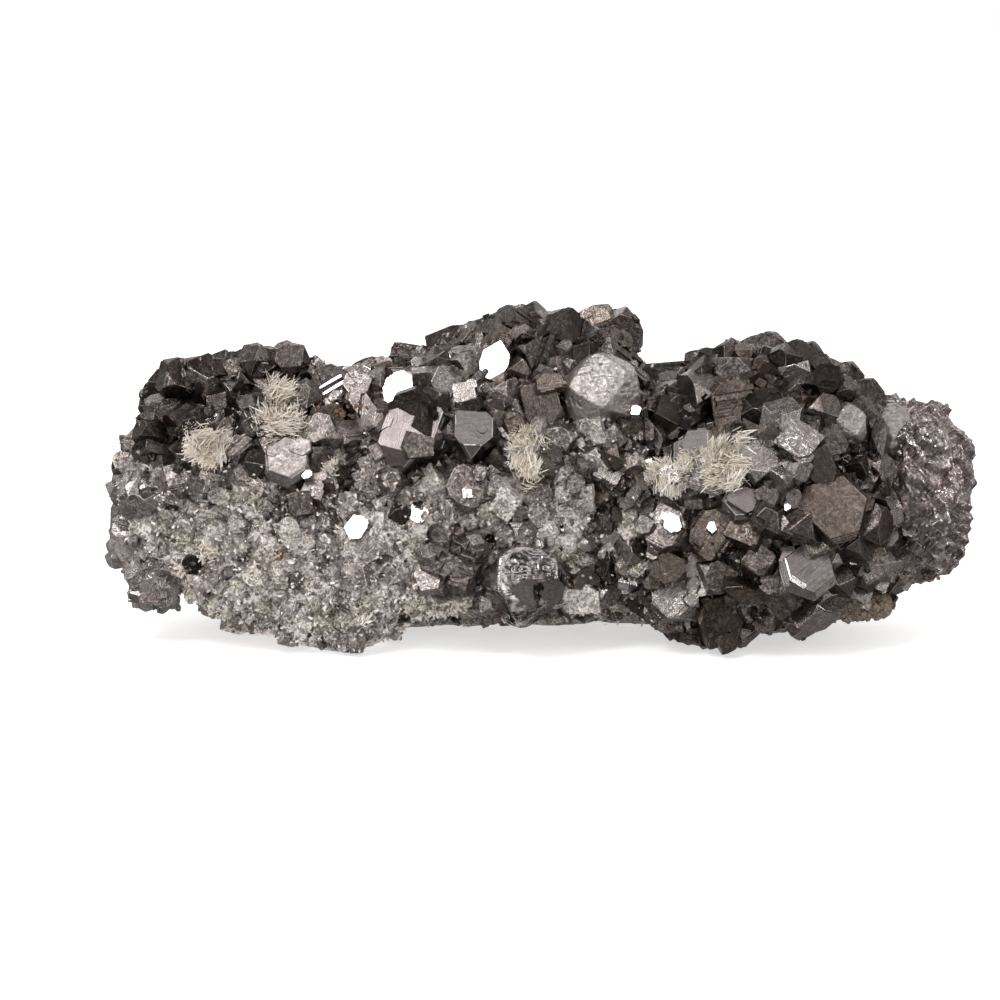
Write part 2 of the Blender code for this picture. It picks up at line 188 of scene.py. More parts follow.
def solid(normals, distances, tone=0.5, rng=None, plain=None):
    """The convex solid behind a set of planes.

    Three planes meet in a point, by Cramer's rule on their normals, and the point is a corner of the solid
    if no other plane cuts it off. The corners on one plane, in order of their angle about their middle, are
    one face. Growth lines on it run along its longest edge. Planes after the plain ones are the chamfers
    along the edges, which get a lighter tone as a painted edge highlight."""
    trios, parts = crossings(normals)
    points = (distances[trios][:, :, None] * parts).sum(0)
    points = points[(points @ normals.T <= distances + 1e-4).all(1)]
    if len(points) < 4:
        return None
    points = np.unique(np.round(points, 3), axis=0)
    on_plane = np.abs(points @ normals.T - distances) < ON_PLANE
    corners, counts, lines, planes = [], [], [], []
    for plane in np.flatnonzero(on_plane.sum(0) > 2):
        found = np.flatnonzero(on_plane[:, plane])
        nx, ny, nz = normals[plane]
        along = np.array([-ny, nx, 0.0]) if abs(nz) < 0.9 else np.array([0.0, -nz, ny])
        across = crossed(normals[plane], along)
        spread = points[found] - points[found].mean(0)
        found = found[np.argsort(np.arctan2(spread @ across, spread @ along))]
        rim = points[found]
        edges = np.concatenate([rim[1:], rim[:1]]) - rim
        longest = edges[np.argmax((edges**2).sum(1))]
        longest = longest / np.sqrt(longest @ longest)
        beside = crossed(normals[plane], longest)
        corners.append(found)
        counts.append(len(found))
        planes.append(plane)
        lines.append(np.stack([rim @ longest, rim @ beside], 1))
    if len(counts) < 4:
        return None
    shade = np.full(len(counts), float(tone))
    if rng is not None:
        shade = shade + rng.normal(0, 0.13, len(counts))
    # The chamfers get a lighter tone: a painted edge highlight.
    if plain is not None:
        shade[np.array(planes) >= plain] += 0.75
    return Shape(points, np.concatenate(corners), np.array(counts), np.vstack(lines), shade)


def rotation_matrices(quaternions):
    """The rotation matrices of unit quaternions w, x, y, z."""
    w, x, y, z = unit(quaternions).T
    return np.ascontiguousarray(np.array([
        [1 - 2 * (y * y + z * z), 2 * (x * y - w * z), 2 * (x * z + w * y)],
        [2 * (x * y + w * z), 1 - 2 * (x * x + z * z), 2 * (y * z - w * x)],
        [2 * (x * z - w * y), 2 * (y * z + w * x), 1 - 2 * (x * x + y * y)],
    ]).transpose(2, 0, 1))


def turns(rng, count):
    """Rotation matrices spread evenly over all turns, from random unit quaternions."""
    return rotation_matrices(rng.normal(size=(count, 4)))


def turned_to(rng, outward, tilt):
    """Rotations that take the Z axis to each outward direction, tilted at random by about an angle, with
    a random spin about it. The columns are the turned X, Y and Z axes."""
    axis = unit(outward + rng.normal(0, tilt, outward.shape))
    side = unit(np.cross(axis, rng.normal(size=axis.shape)))
    return np.stack([side, np.cross(axis, side), axis], 2)


def growth_layers(normals, distances, rng, face, steps, rise, inset):
    """Plates on one face of a crystal: for each step the face's plane is raised once more and the sides
    are drawn in once more, each side by its own amount. The underside is sunk into the crystal."""
    lean = inset * rng.random(len(normals)) ** 1.5 + 0.06
    lean[rng.random(len(normals)) < 0.25] = 0.03
    if rng.random() < 0.6:
        lean[rng.integers(len(normals))] += inset * 3 * rng.random()
    shapes = []
    for step in range(1, steps + 1):
        reach = distances - lean * step
        reach[face] = distances[face] + rise * step
        shapes.append((
            np.vstack([normals, -normals[face]]),
            np.append(reach, -(distances[face] - 0.5)),
        ))
    return shapes


def stacked_plates(normals, distances, rng, axis_face, pitch):
    """A crystal as a pile of plates along one of its axes. Each plate is the crystal between two planes a
    pitch apart, its other sides drawn in by a random amount, so that their rims stand out as ridges."""
    axis = normals[axis_face]
    low = -distances[np.argmin(normals @ axis)]
    high = distances[axis_face]
    count = max(3, int((high - low) / pitch))
    edges = low + (high - low) * np.linspace(0, 1, count + 1)
    edges[1:-1] += rng.normal(0, 0.18 * pitch, count - 1)
    sideways = np.abs(normals @ axis) < 0.9
    shapes = []
    for index in range(count):
        reach = distances - sideways * (rng.random() ** 2) * 0.9
        shapes.append((
            np.vstack([normals, axis, -axis]),
            np.append(reach, [edges[index + 1] + 0.02, -(edges[index] - 0.02)]),
        ))
    return shapes


def chamfered(normals, distances, width):
    """The same planes with one more along each edge, leaning halfway between its two faces."""
    shape = solid(normals, distances)
    points = shape.points
    on_plane = np.abs(points @ normals.T - distances) < ON_PLANE
    shared = on_plane.T.astype(int) @ on_plane.astype(int)
    one, other = np.nonzero(np.triu(shared >= 2, 1))
    between = unit(normals[one] + normals[other])
    edge_point = points[(on_plane[:, one] & on_plane[:, other]).argmax(0)]
    lean = np.sqrt(np.clip(1 - ((normals[one] * between).sum(1)) ** 2, 0, 1))
    reach = (edge_point * between).sum(1) - 0.5 * width * lean
    return np.vstack([normals, between]), np.append(distances, reach)


def crystal(normals, distances, rng, tone, layers=3, sides=2, stack=None, pitch=1.0, chamfer=0.0, hills=0):
    """A crystal with its growth: the body, plates on its faces, smaller crystals in the same orientation
    that stand part way out of its corners, and low hillocks."""
    body = solid(normals, distances)
    if body is None:
        return []
    middle = body.points.mean(0)
    reach = distances - normals @ middle
    planes = []
    if stack is not None:
        planes += stacked_plates(normals, distances, rng, stack, pitch)
    elif not chamfer:
        planes.append((normals, distances))
    size = reach.mean()
    for face in rng.permutation(len(normals))[:layers]:
        steps = int(rng.integers(1, 4))
        rise = rng.uniform(0.012, 0.035) * size + 0.04
        planes += growth_layers(normals, distances, rng, face, steps, rise, 0.1 * size)
    for _ in range(sides):
        corner = body.points[rng.integers(len(body.points))]
        scale = rng.uniform(0.22, 0.5)
        place = middle + (corner - middle) * rng.uniform(0.66, 0.9)
        planes.append((normals, normals @ place + reach * scale * rng.uniform(0.85, 1.15, len(reach))))
    planes += hillocks(normals, distances, body, rng, hills)
    shapes = [solid(n, d, tone, rng) for n, d in planes]
    if chamfer and stack is None:
        shapes.append(solid(*chamfered(normals, distances, chamfer), tone, rng, len(normals)))
    return shapes


def repeated(template, rotations, sizes, places, tones):
    """Many copies of one shape: its points scaled along its own axes, turned and placed for every copy at
    once, and its faces repeated with the point numbers moved along."""
    count = len(places)
    local = template.points[None] * sizes[:, None, :]
    points = np.einsum("nij,nvj->nvi", rotations, local) + places[:, None]
    starts = np.arange(count)[:, None] * len(template.points)
    lines = template.lines[None] * sizes[:, None, :1]
    shades = tones[:, None] + template.tone[None] - 0.5
    return Shape(
        points.reshape(-1, 3),
        (template.corners[None] + starts).ravel(),
        np.tile(template.counts, count),
        lines.reshape(-1, 2),
        shades.ravel(),
    )


def from_library(library, which, rotations, sizes, places, tones):
    """Copies of a library's shapes as one shape: every place takes the shape with its number."""
    shapes = []
    for index, template in enumerate(library):
        mine = which == index
        if mine.any():
            shapes.append(repeated(template, rotations[mine], sizes[mine], places[mine], tones[mine]))
    return join(shapes)


def needle_template(sides, taper):
    """A needle of unit length and radius along Z: a ring at its closed foot, a ring near its top, and a
    point."""
    angle = np.arange(sides) * 2 * pi / sides
    ring = np.stack([np.cos(angle), np.sin(angle)], 1)
    foot = np.column_stack([ring, np.zeros(sides)])
    top = np.column_stack([ring * taper, np.full(sides, 0.75)])
    points = np.vstack([foot, top, [[0, 0, 1]]])
    near = np.arange(sides)
    far = (near + 1) % sides
    walls = np.stack([near, far, far + sides, near + sides], 1)
    tips = np.stack([near + sides, far + sides, np.full(sides, 2 * sides)], 1)
    corners = np.concatenate([walls.ravel(), tips.ravel(), near[::-1]])
    counts = np.array([4] * sides + [3] * sides + [sides])
    lines = np.column_stack([points[corners, 2], points[corners, 0]])
    return Shape(points, corners, counts, lines, np.full(len(counts), 0.5))


def lattice_numbers(cells, salt):
    """A number from 0 to 1 for each lattice cell: its three indices mixed by multiplying and folding."""
    mixed = cells[..., 0] * 73856093 ^ cells[..., 1] * 19349663 ^ cells[..., 2] * 83492791
    mixed = (mixed + salt * 974711) & 0xFFFFFFFF
    mixed = (mixed ^ (mixed >> 15)) * 2246822519 & 0xFFFFFFFF
    mixed = (mixed ^ (mixed >> 13)) * 3266489917 & 0xFFFFFFFF
    return (mixed ^ (mixed >> 16)) / 0xFFFFFFFF


def soft_noise(points, size, salt=0):
    """Numbers from -1 to 1 that change smoothly over a size: lattice numbers at the eight corners round a
    point, blended with a smooth step along each axis."""
    place = points / size
    cell = np.floor(place).astype(np.int64)
    share = place - cell
    share = share * share * (3 - 2 * share)
    total = np.zeros(len(points))
    for corner in np.ndindex(2, 2, 2):
        weight = np.prod(np.where(corner, share, 1 - share), axis=1)
        total += weight * lattice_numbers(cell + np.array(corner), salt)
    return 2 * total - 1


def read(items, field, kind=float):
    """One field of all of a mesh's vertices or triangles, three numbers to a row."""
    values = np.empty(len(items) * 3, kind)
    items.foreach_get(field, values)
    return values.reshape(-1, 3)


def mesh_arrays(thing):
    """A mesh's points in millimetres and its triangles."""
    mesh = thing.data
    mesh.calc_loop_triangles()
    return read(mesh.vertices, "co") / MM, read(mesh.loop_triangles, "vertices", np.int32)


def box_of(node):
    """The low and high corners of a node's box, in millimetres."""
    return [np.array(corner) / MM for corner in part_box(node)]


def crystal_planes(node):
    """The planes that a crystal's solid lies behind: each triangle's plane, where no point of the solid
    is in front of it, with repeats left out."""
    points, triangles = mesh_arrays(NODES[node])
    a, b, c = (points[triangles[:, i]] for i in range(3))
    normals = np.cross(b - a, c - a)
    large = np.linalg.norm(normals, axis=1) > 0.4
    normals, a = unit(normals[large]), a[large]
    distances = (normals * a).sum(1)
    hull = (normals @ points.T).max(1) - distances < 0.03
    normals, distances = normals[hull], distances[hull]
    keep = []
    for index in range(len(normals)):
        if all(normals[other] @ normals[index] <= 0.999 for other in keep):
            keep.append(index)
    return normals[keep], distances[keep]


def put_in_scene(name, mesh, replaced=()):
    """A mesh as a piece of the body, in place of the nodes that it stands for."""
    piece = bpy.data.objects.new(name, mesh)
    bpy.context.scene.collection.objects.link(piece)
    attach(piece, BODY)
    if replaced:
        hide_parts(*replaced)
    return piece


def add_piece(name, shape, material, replaced=()):
    """Puts a shape into a mesh in metres, with its growth-line map and tones, and adds it to the body.
    Nothing reaches below the level that the specimen rests on."""
    mesh = bpy.data.meshes.new(name)
    above = np.maximum(shape.points, [-np.inf, -np.inf, 0.0])
    mesh.vertices.add(len(above))
    mesh.vertices.foreach_set("co", (above * MM).astype(np.float32).ravel())
    mesh.loops.add(len(shape.corners))
    mesh.loops.foreach_set("vertex_index", shape.corners.astype(np.int32))
    mesh.polygons.add(len(shape.counts))
    starts = np.concatenate([[0], np.cumsum(shape.counts)[:-1]])
    mesh.polygons.foreach_set("loop_start", starts.astype(np.int32))
    mesh.update(calc_edges=True)
    mesh.uv_layers.new(name="growth").data.foreach_set("uv", shape.lines.astype(np.float32).ravel())
    mesh.attributes.new("tone", "FLOAT", "FACE").data.foreach_set("value", shape.tone.astype(np.float32))
    mesh.validate()
    mesh.shade_flat()
    mesh.materials.append(material)
    return put_in_scene(name, mesh, replaced)


def add_galena(name, shape, finish, replaced=()):
    """Adds crystals in one of the galena finishes, or coated with druse."""
    if finish == "coated":
        return add_piece(name, shape, ROCK, replaced)
    return add_piece(name, shape, GALENAS[finish], replaced)


def scattered(points, triangles, count, rng):
    """Places spread evenly over triangles, with their outward directions: a triangle is drawn by its share
    of the area, and a place in it by two random shares folded back into the triangle."""
    a, b, c = (points[triangles[:, i]] for i in range(3))
    cross = np.cross(b - a, c - a)
    area = np.linalg.norm(cross, axis=1)
    drawn = rng.choice(len(area), count, p=area / area.sum())
    u, v = rng.random((2, count))
    over = u + v > 1
    u, v = np.where(over, 1 - u, u)[:, None], np.where(over, 1 - v, v)[:, None]
    return a[drawn] + u * (b - a)[drawn] + v * (c - a)[drawn], unit(cross[drawn])


def open_to_air(tree, places, outward, distance):
    """Whether each place looks out freely: a ray along its outward direction meets no solid nearby."""
    starts = places + outward * 0.4
    hits = [tree.ray_cast(Vector(s), Vector(o), distance)[0] for s, o in zip(starts, outward)]
    return np.array([hit is None for hit in hits])


def ramp(value, low, high):
    """A smooth step from 0 at low to 1 at high."""
    share = np.clip((value - low) / (high - low), 0, 1)
    return share * share * (3 - 2 * share)


def druse_share(places):
    """How far the pale druse takes over, from 0 to 1: the left foot and left edge of the display side, a
    patch in the middle, the low edge up to the right dome, and patches over the back."""
    x, y, z = places.T
    front = 1 - ramp(y, -6, 16)
    left = (1 - ramp(x, -26, -2)) * (1 - ramp(z, 36, 58))
    far_left = (1 - ramp(x, -112, -94)) * (1 - ramp(z, 56, 68))
    middle = np.exp(-(((x - 2) / 21) ** 2) - ((z - 42) / 19) ** 2)
    low = (1 - ramp(z, 7, 20)) * (1 - ramp(x, 22, 38))
    share = front * np.maximum(np.maximum(left, far_left), np.maximum(0.75 * middle, 0.85 * low))
    patches = 0.9 * ramp(soft_noise(places, 24.0, 15) + 0.5 * soft_noise(places, 9.0, 16), -0.1, 0.35)
    return np.clip(np.maximum(share, patches * ramp(y, 2, 20)), 0, 1)


def shaded(places):
    """How much painted shade the crystals get for their height, from 0 to 1: the crest of the right dome is
    painted darkest.
    """
    return ramp(places[:, 2], 50, 72) * (0.3 + 0.7 * ramp(places[:, 0], 18, 36))


def spread_out(places, sizes, taken, taken_sizes, closeness):
    """Which places to keep, so that crystals stand no closer than a share of their summed half sizes:
    each in turn is kept if it is clear of the ones kept before it."""
    kept = []
    everything, widths = np.empty((len(taken) + len(places), 3)), np.empty(len(taken) + len(places))
    count = len(taken)
    everything[:count], widths[:count] = taken, taken_sizes
    for index, (place, size) in enumerate(zip(places, sizes)):
        gap = ((everything[:count] - place) ** 2).sum(1)
        if (gap > (closeness * 0.5 * (widths[:count] + size)) ** 2).all():
            kept.append(index)
            everything[count], widths[count] = place, size
            count += 1
    return np.array(kept, int)


# Materials


def new_group(name, inputs, outputs):
    """A shader node group with named sockets. An input's default is a number or a colour."""
    group = bpy.data.node_groups.new(name, "ShaderNodeTree")
    for label, default in inputs:
        kind = "NodeSocketColor" if isinstance(default, tuple) else "NodeSocketFloat"
        socket = group.interface.new_socket(label, in_out="INPUT", socket_type=kind)
        socket.default_value = default
    for label, kind in outputs:
        group.interface.new_socket(label, in_out="OUTPUT", socket_type=kind)
    return group, Wires(group)


class Wires:
    """Adds nodes to a tree and links them, one call for each node."""

    def __init__(self, tree):
        self.tree = tree

    def add(self, kind, settings=None, **inputs):
        """A node with its settings and its named inputs, each a value or another node's output."""
        node = self.tree.nodes.new("ShaderNode" + kind)
        for key, value in (settings or {}).items():
            setattr(node, key, value)
        for label, value in inputs.items():
            self.feed(node.inputs[label.replace("_", " ")], value)
        return node

    def feed(self, socket, value):
        """Links another node's output to a socket, or sets its value."""
        if isinstance(value, bpy.types.NodeSocket):
            self.tree.links.new(value, socket)
        else:
            socket.default_value = value

    def feed_all(self, node, values):
        """Feeds a node's inputs in their order and gives its first output."""
        for socket, value in zip(node.inputs, values):
            self.feed(socket, value)
        return node.outputs[0]

    def math(self, operation, *values, clamp=False):
        """The result of one operation on numbers."""
        return self.feed_all(self.add("Math", {"operation": operation, "use_clamp": clamp}), values)

    def vector(self, operation, *values):
        """The result of one operation on vectors."""
        return self.feed_all(self.add("VectorMath", {"operation": operation}), values)

    def scaled(self, vector, scale):
        """A vector or colour times a number."""
        return self.add("VectorMath", {"operation": "SCALE"}, Vector=vector, Scale=scale).outputs[0]

    def blend(self, share, one, other):
        """One colour at a share of 0 and the other at 1."""
        node = self.add("Mix", {"data_type": "RGBA"})
        for index, value in ((0, share), (6, one), (7, other)):
            self.feed(node.inputs[index], value)
        return node.outputs[2]

    def between(self, value, low, high, to_low=0.0, to_high=1.0):
        """A smooth step from to_low at low to to_high at high."""
        node = self.add("MapRange", {"interpolation_type": "SMOOTHSTEP"})
        return self.feed_all(node, (value, low, high, to_low, to_high))

    def noise(self, place, scale, detail=2.0, rough=0.5):
        """Soft noise from 0 to 1 at a place."""
        return self.add("TexNoise", Vector=place, Scale=scale, Detail=detail, Roughness=rough).outputs[0]

    def tone(self):
        """Each face's or point's own tone."""
        return self.add("Attribute", {"attribute_name": "tone"}).outputs["Fac"]

    def metres(self):
        """The place in the object's own coordinates."""
        return self.add("TexCoord").outputs["Object"]

    def millimetres(self):
        """The same place in millimetres."""
        return self.scaled(self.metres(), 1 / MM)


def growth_lines_group():
    """Fine parallel growth lines on a crystal's face: noise drawn out along the face's own first
    direction, so that it changes only across the lines, and a coarser copy that breaks them up."""
    group, w = new_group(
        "Growth lines",
        (("Lines per mm", 3.0), ("Broken", 0.4)),
        (("Lines", "NodeSocketFloat"),),
    )
    sockets = group.nodes.new("NodeGroupInput").outputs
    place = w.add("UVMap", {"uv_map": "growth"}).outputs[0]
    split = w.add("SeparateXYZ", Vector=place).outputs
    along = w.math("MULTIPLY", split[0], 0.06)
    across = w.math("MULTIPLY", split[1], sockets["Lines per mm"])
    drawn = w.add("CombineXYZ", X=along, Y=across).outputs[0]
    fine = w.noise(drawn, 1.0, 3.0, 0.6)
    patch = w.between(w.noise(place, 0.35, 1.0), 0.35, 0.65)
    kept = w.math("MULTIPLY", patch, sockets["Broken"])
    lines = w.between(fine, 0.38, 0.62)
    out = w.math("MULTIPLY", lines, w.math("SUBTRACT", 1.0, kept))
    w.feed(group.nodes.new("NodeGroupOutput").inputs["Lines"], out)
    return group


def etching_group():
    """Etch pits, fine faces and dull patches: small cells whose middles are low, cells that each lean
    their own way so that they catch the light one by one, and a soft cloud that says where the face is
    dull."""
    group, w = new_group(
        "Etching",
        (("Pits per mm", 1.5), ("Pitted share", 0.5), ("Lean", 0.3), ("Faces per mm", 2.2)),
        (
            ("Height", "NodeSocketFloat"), ("Dull", "NodeSocketFloat"), ("Speck", "NodeSocketFloat"),
            ("Normal", "NodeSocketVector"),
        ),
    )
    sockets = group.nodes.new("NodeGroupInput").outputs
    place = w.millimetres()
    cloudy = w.add("TexNoise", Vector=place, Scale=1.7, Detail=2.0).outputs["Color"]
    bent = w.vector("ADD", place, cloudy)
    cells = w.add("TexVoronoi", Vector=bent, Scale=sockets["Pits per mm"]).outputs["Distance"]
    grain = w.noise(place, 5.0, 3.0, 0.65)
    cloud = w.noise(place, 0.22, 3.0, 0.6)
    dull = w.between(cloud, w.math("SUBTRACT", 0.75, sockets["Pitted share"]), 0.8)
    pits = w.math("MULTIPLY", w.between(cells, 0.05, 0.45), dull)
    height = w.math("ADD", pits, w.math("MULTIPLY", grain, 0.35))
    faces = w.add("TexVoronoi", Vector=bent, Scale=sockets["Faces per mm"]).outputs["Color"]
    amount = w.math("MULTIPLY", sockets["Lean"], w.math("ADD", 0.25, w.math("MULTIPLY", dull, 0.75)))
    leaning = w.scaled(w.vector("SUBTRACT", faces, (0.5, 0.5, 0.5)), amount)
    turned = w.vector("ADD", w.add("NewGeometry").outputs["Normal"], leaning)
    outputs = group.nodes.new("NodeGroupOutput").inputs
    w.feed(outputs["Height"], height)
    w.feed(outputs["Dull"], dull)
    w.feed(outputs["Speck"], w.add("SeparateColor", Color=faces).outputs[1])
    w.feed(outputs["Normal"], w.vector("NORMALIZE", turned))
    return group


GROWTH_LINES = growth_lines_group()
ETCHING = etching_group()


def new_material(name, roughness, metallic):
    """A material with its Principled shader, and the wires to add to it."""
    material = bpy.data.materials.new(name)
    material.use_nodes = True
    shader = material.node_tree.nodes["Principled BSDF"]
    shader.inputs["Roughness"].default_value = roughness
    shader.inputs["Metallic"].default_value = metallic
    return material, shader.inputs, Wires(material.node_tree)


def etching(w, pitted, lean, fine):
    """The etching group in a material: the share that is pitted, how far its fine faces lean, and how many
    of them there are in a millimetre."""
    settings = {"Pitted_share": pitted, "Lean": lean, "Faces_per_mm": fine}
    return w.add("Group", {"node_tree": ETCHING}, **settings).outputs


def galena(name, dark, light, patch_colour, roughness, line_depth, pit_depth, pitted, lines=3.0, lean=0.3, fine=2.2):
    """Galena: metallic, between a dark and a light grey by the crystal's tone, uneven, and given a painted
    sheen of its patch colour in patches, mottled and rougher where it is etched, with growth lines, pits and
    fine leaning faces in its surface, and darker where the growth lines run low, as painted shade in their
    furrows."""
    material, sockets, w = new_material(name, roughness, 1.0)
    etched = etching(w, pitted, lean, fine)
    ruled = w.add("Group", {"node_tree": GROWTH_LINES}, Lines_per_mm=lines).outputs["Lines"]
    metres = w.metres()
    uneven = w.between(w.noise(metres, 900.0, 4.0, 0.7), 0.36, 0.64, -0.6 * pitted, 0.6 * pitted)
    tone = w.math("ADD", w.tone(), uneven, clamp=True)
    colour = w.blend(tone, (*dark, 1), (*light, 1))
    # A painted sheen: the patch colour is mixed into the base colour in soft patches.
    patchy = w.between(w.noise(metres, 90.0, 4.0, 0.6), 0.4, 0.7)
    colour = w.blend(w.math("MULTIPLY", patchy, 0.5), colour, (*patch_colour, 1))
    dull = etched["Dull"]
    speck = w.between(etched["Speck"], 0.5, 0.82, 0.35, 2.0)
    depth = w.math("MULTIPLY", dull, min(0.75, 1.2 * lean))
    mottled = w.math("MULTIPLY_ADD", w.math("SUBTRACT", speck, 1.0), depth, 1.0)
    colour = w.scaled(colour, mottled)
    # Darker where the growth lines run low: painted shade in their furrows.
    furrow = w.math("MULTIPLY", w.math("SUBTRACT", 1.0, ruled), min(0.35, 0.4 * line_depth))
    colour = w.blend(furrow, colour, (*[0.4 * part for part in dark], 1))
    w.feed(sockets["Base Color"], colour)
    rough = w.math("MULTIPLY_ADD", dull, 0.14, roughness)
    rough = w.math("ADD", rough, w.between(tone, 0.0, 1.0, 0.08, -0.06))
    w.feed(sockets["Roughness"], rough)
    height = w.math("MULTIPLY", ruled, line_depth)
    height = w.math("MULTIPLY_ADD", etched["Height"], pit_depth, height)
    bump = w.add("Bump", Height=height, Strength=0.8, Distance=0.00014, Normal=etched["Normal"])
    w.feed(sockets["Normal"], bump.outputs["Normal"])
    return material


def rock_material():
    """The druse and rock between the crystals: grey ore, pale quartz and olive-brown rock in patches,
    glittering where fine crystals catch the light."""
    material, sockets, w = new_material("druse_and_rock", 0.5, 0.0)
    place = w.millimetres()
    etched = etching(w, 0.9, 1.3, 1.7)
    speck = etched["Speck"]
    ore = w.blend(speck, (0.045, 0.038, 0.037, 1), (0.34, 0.31, 0.30, 1))
    quartz = w.blend(w.between(speck, 0.12, 0.88), (0.30, 0.27, 0.26, 1), (0.97, 0.915, 0.895, 1))
    olive = w.blend(w.between(speck, 0.12, 0.88), (0.13, 0.11, 0.07, 1), (0.76, 0.71, 0.59, 1))
    cloud = w.between(w.noise(place, 0.16, 4.0, 0.6), 0.3, 0.7, -0.35, 0.3)
    share = w.math("ADD", w.tone(), cloud, clamp=True)
    colour = w.blend(share, ore, quartz)
    yellowish = w.between(w.noise(place, 0.12, 3.0, 0.55), 0.50, 0.64)
    colour = w.blend(w.math("MULTIPLY", yellowish, 0.6), colour, olive)
    w.feed(sockets["Base Color"], colour)
    glint = w.between(speck, 0.62, 0.75)
    w.feed(sockets["Metallic"], w.math("MULTIPLY", glint, w.math("SUBTRACT", 1.0, share, clamp=True)))
    w.feed(sockets["Roughness"], w.between(glint, 0.0, 1.0, 0.55, 0.24))
    bumps = w.math("ADD", w.noise(place, 2.2, 4.0, 0.65), w.math("MULTIPLY", speck, 0.3))
    bump = w.add("Bump", Height=bumps, Strength=0.9, Distance=0.0004, Normal=etched["Normal"])
    w.feed(sockets["Normal"], bump.outputs["Normal"])
    return material


def pale_crystal(name, dark, light, patch_colour, roughness):
    """Quartz in fine crystals: pale, each needle or grain in its own tone, with stains of its patch colour in
    patches.
    """
    material, sockets, w = new_material(name, roughness, 0.0)
    patchy = w.between(w.noise(w.metres(), 130.0, 3.0, 0.6), 0.46, 0.62)
    colour = w.blend(w.tone(), (*dark, 1), (*light, 1))
    colour = w.blend(w.math("MULTIPLY", patchy, 0.6), colour, (*patch_colour, 1))
    w.feed(sockets["Base Color"], colour)
    sockets["IOR"].default_value = 1.54
    return material


def siderite_material():
    """Brown carbonate and rock: dark brown by tone, with greyer patches and pale specks, and a dull
    shine."""
    material, sockets, w = new_material("siderite", 0.42, 0.0)
    metres = w.metres()
    etched = etching(w, 0.9, 1.0, 1.9)
    patch = w.between(w.noise(metres, 260.0, 4.0, 0.65), 0.42, 0.58)
    colour = w.blend(w.tone(), (0.04, 0.03, 0.025, 1), (0.21, 0.145, 0.095, 1))
    colour = w.blend(w.math("MULTIPLY", patch, 0.75), colour, (0.13, 0.11, 0.09, 1))
    speck = w.between(etched["Speck"], 0.5, 0.95)
    colour = w.blend(w.math("MULTIPLY", speck, 0.7), colour, (0.32, 0.27, 0.215, 1))
    w.feed(sockets["Base Color"], colour)
    height = w.noise(metres, 2200.0, 3.0, 0.6)
    bump = w.add("Bump", Height=height, Strength=0.6, Distance=0.0003, Normal=etched["Normal"])
    w.feed(sockets["Normal"], bump.outputs["Normal"])
    return material


def rust_material():
    """Rust stains: orange to dark brown by tone, broken up by noise."""
    material, sockets, w = new_material("rust", 0.5, 0.0)
    metres = w.metres()
    patch = w.between(w.noise(metres, 300.0, 3.0, 0.6), 0.4, 0.6)
    colour = w.blend(w.tone(), (0.07, 0.043, 0.028, 1), (0.24, 0.13, 0.075, 1))
    w.feed(sockets["Base Color"], w.blend(w.math("MULTIPLY", patch, 0.5), colour, (0.20, 0.15, 0.105, 1)))
    bump = w.add("Bump", Height=w.noise(metres, 2200.0, 3.0, 0.6), Strength=0.5, Distance=0.0002)
    w.feed(sockets["Normal"], bump.outputs["Normal"])
    return material


# Galena in its finishes: a dark and a light grey, and the colour of its painted sheen. Each colour is linear
# red, green and blue.
GALENAS = {
    "bright": galena(
        "bright_galena", (0.20, 0.18, 0.176), (0.70, 0.655, 0.645), (0.44, 0.38, 0.37),
        roughness=0.17, line_depth=0.4, pit_depth=0.45, pitted=0.4,
    ),
    "dark": galena(
        "dark_galena", (0.035, 0.030, 0.029), (0.30, 0.265, 0.255), (0.12, 0.09, 0.08),
        roughness=0.20, line_depth=0.4, pit_depth=0.5, pitted=0.45, lean=0.4,
    ),
    "brown": galena(
        "brown_galena", (0.065, 0.052, 0.046), (0.34, 0.29, 0.265), (0.17, 0.13, 0.105),
        roughness=0.24, line_depth=0.4, pit_depth=0.5, pitted=0.45, lean=0.35,
    ),
    "frosted": galena(
        "frosted_galena", (0.28, 0.26, 0.255), (0.60, 0.56, 0.55), (0.44, 0.40, 0.40),
        roughness=0.40, line_depth=0.2, pit_depth=0.7, pitted=0.6, fine=2.4,
    ),
    "cleaved": galena(
        "cleaved_galena", (0.13, 0.11, 0.11), (0.62, 0.555, 0.555), (0.36, 0.29, 0.30),
        roughness=0.24, line_depth=0.8, pit_depth=0.5, pitted=0.5, lines=4.0, lean=0.5, fine=1.1,
    ),
    "etched": galena(
        "etched_galena", (0.13, 0.114, 0.11), (0.60, 0.55, 0.535), (0.32, 0.26, 0.25),
        roughness=0.26, line_depth=0.4, pit_depth=0.9, pitted=0.7, lean=0.5, fine=2.4,
    ),
    "smooth": galena(
        "smooth_galena", (0.235, 0.212, 0.216), (0.68, 0.64, 0.645), (0.36, 0.315, 0.32),
        roughness=0.16, line_depth=0.15, pit_depth=0.15, pitted=0.12, lean=0.03,
    ),
}
ROCK = rock_material()
NEEDLES = pale_crystal("quartz_needles", (0.55, 0.50, 0.43), (0.95, 0.915, 0.86), (0.68, 0.60, 0.48), 0.32)
DRUSE = pale_crystal("quartz_druse", (0.46, 0.41, 0.395), (0.96, 0.91, 0.885), (0.52, 0.45, 0.34), 0.3)
SIDERITE = siderite_material()
RUST = rust_material()


# Named crystals


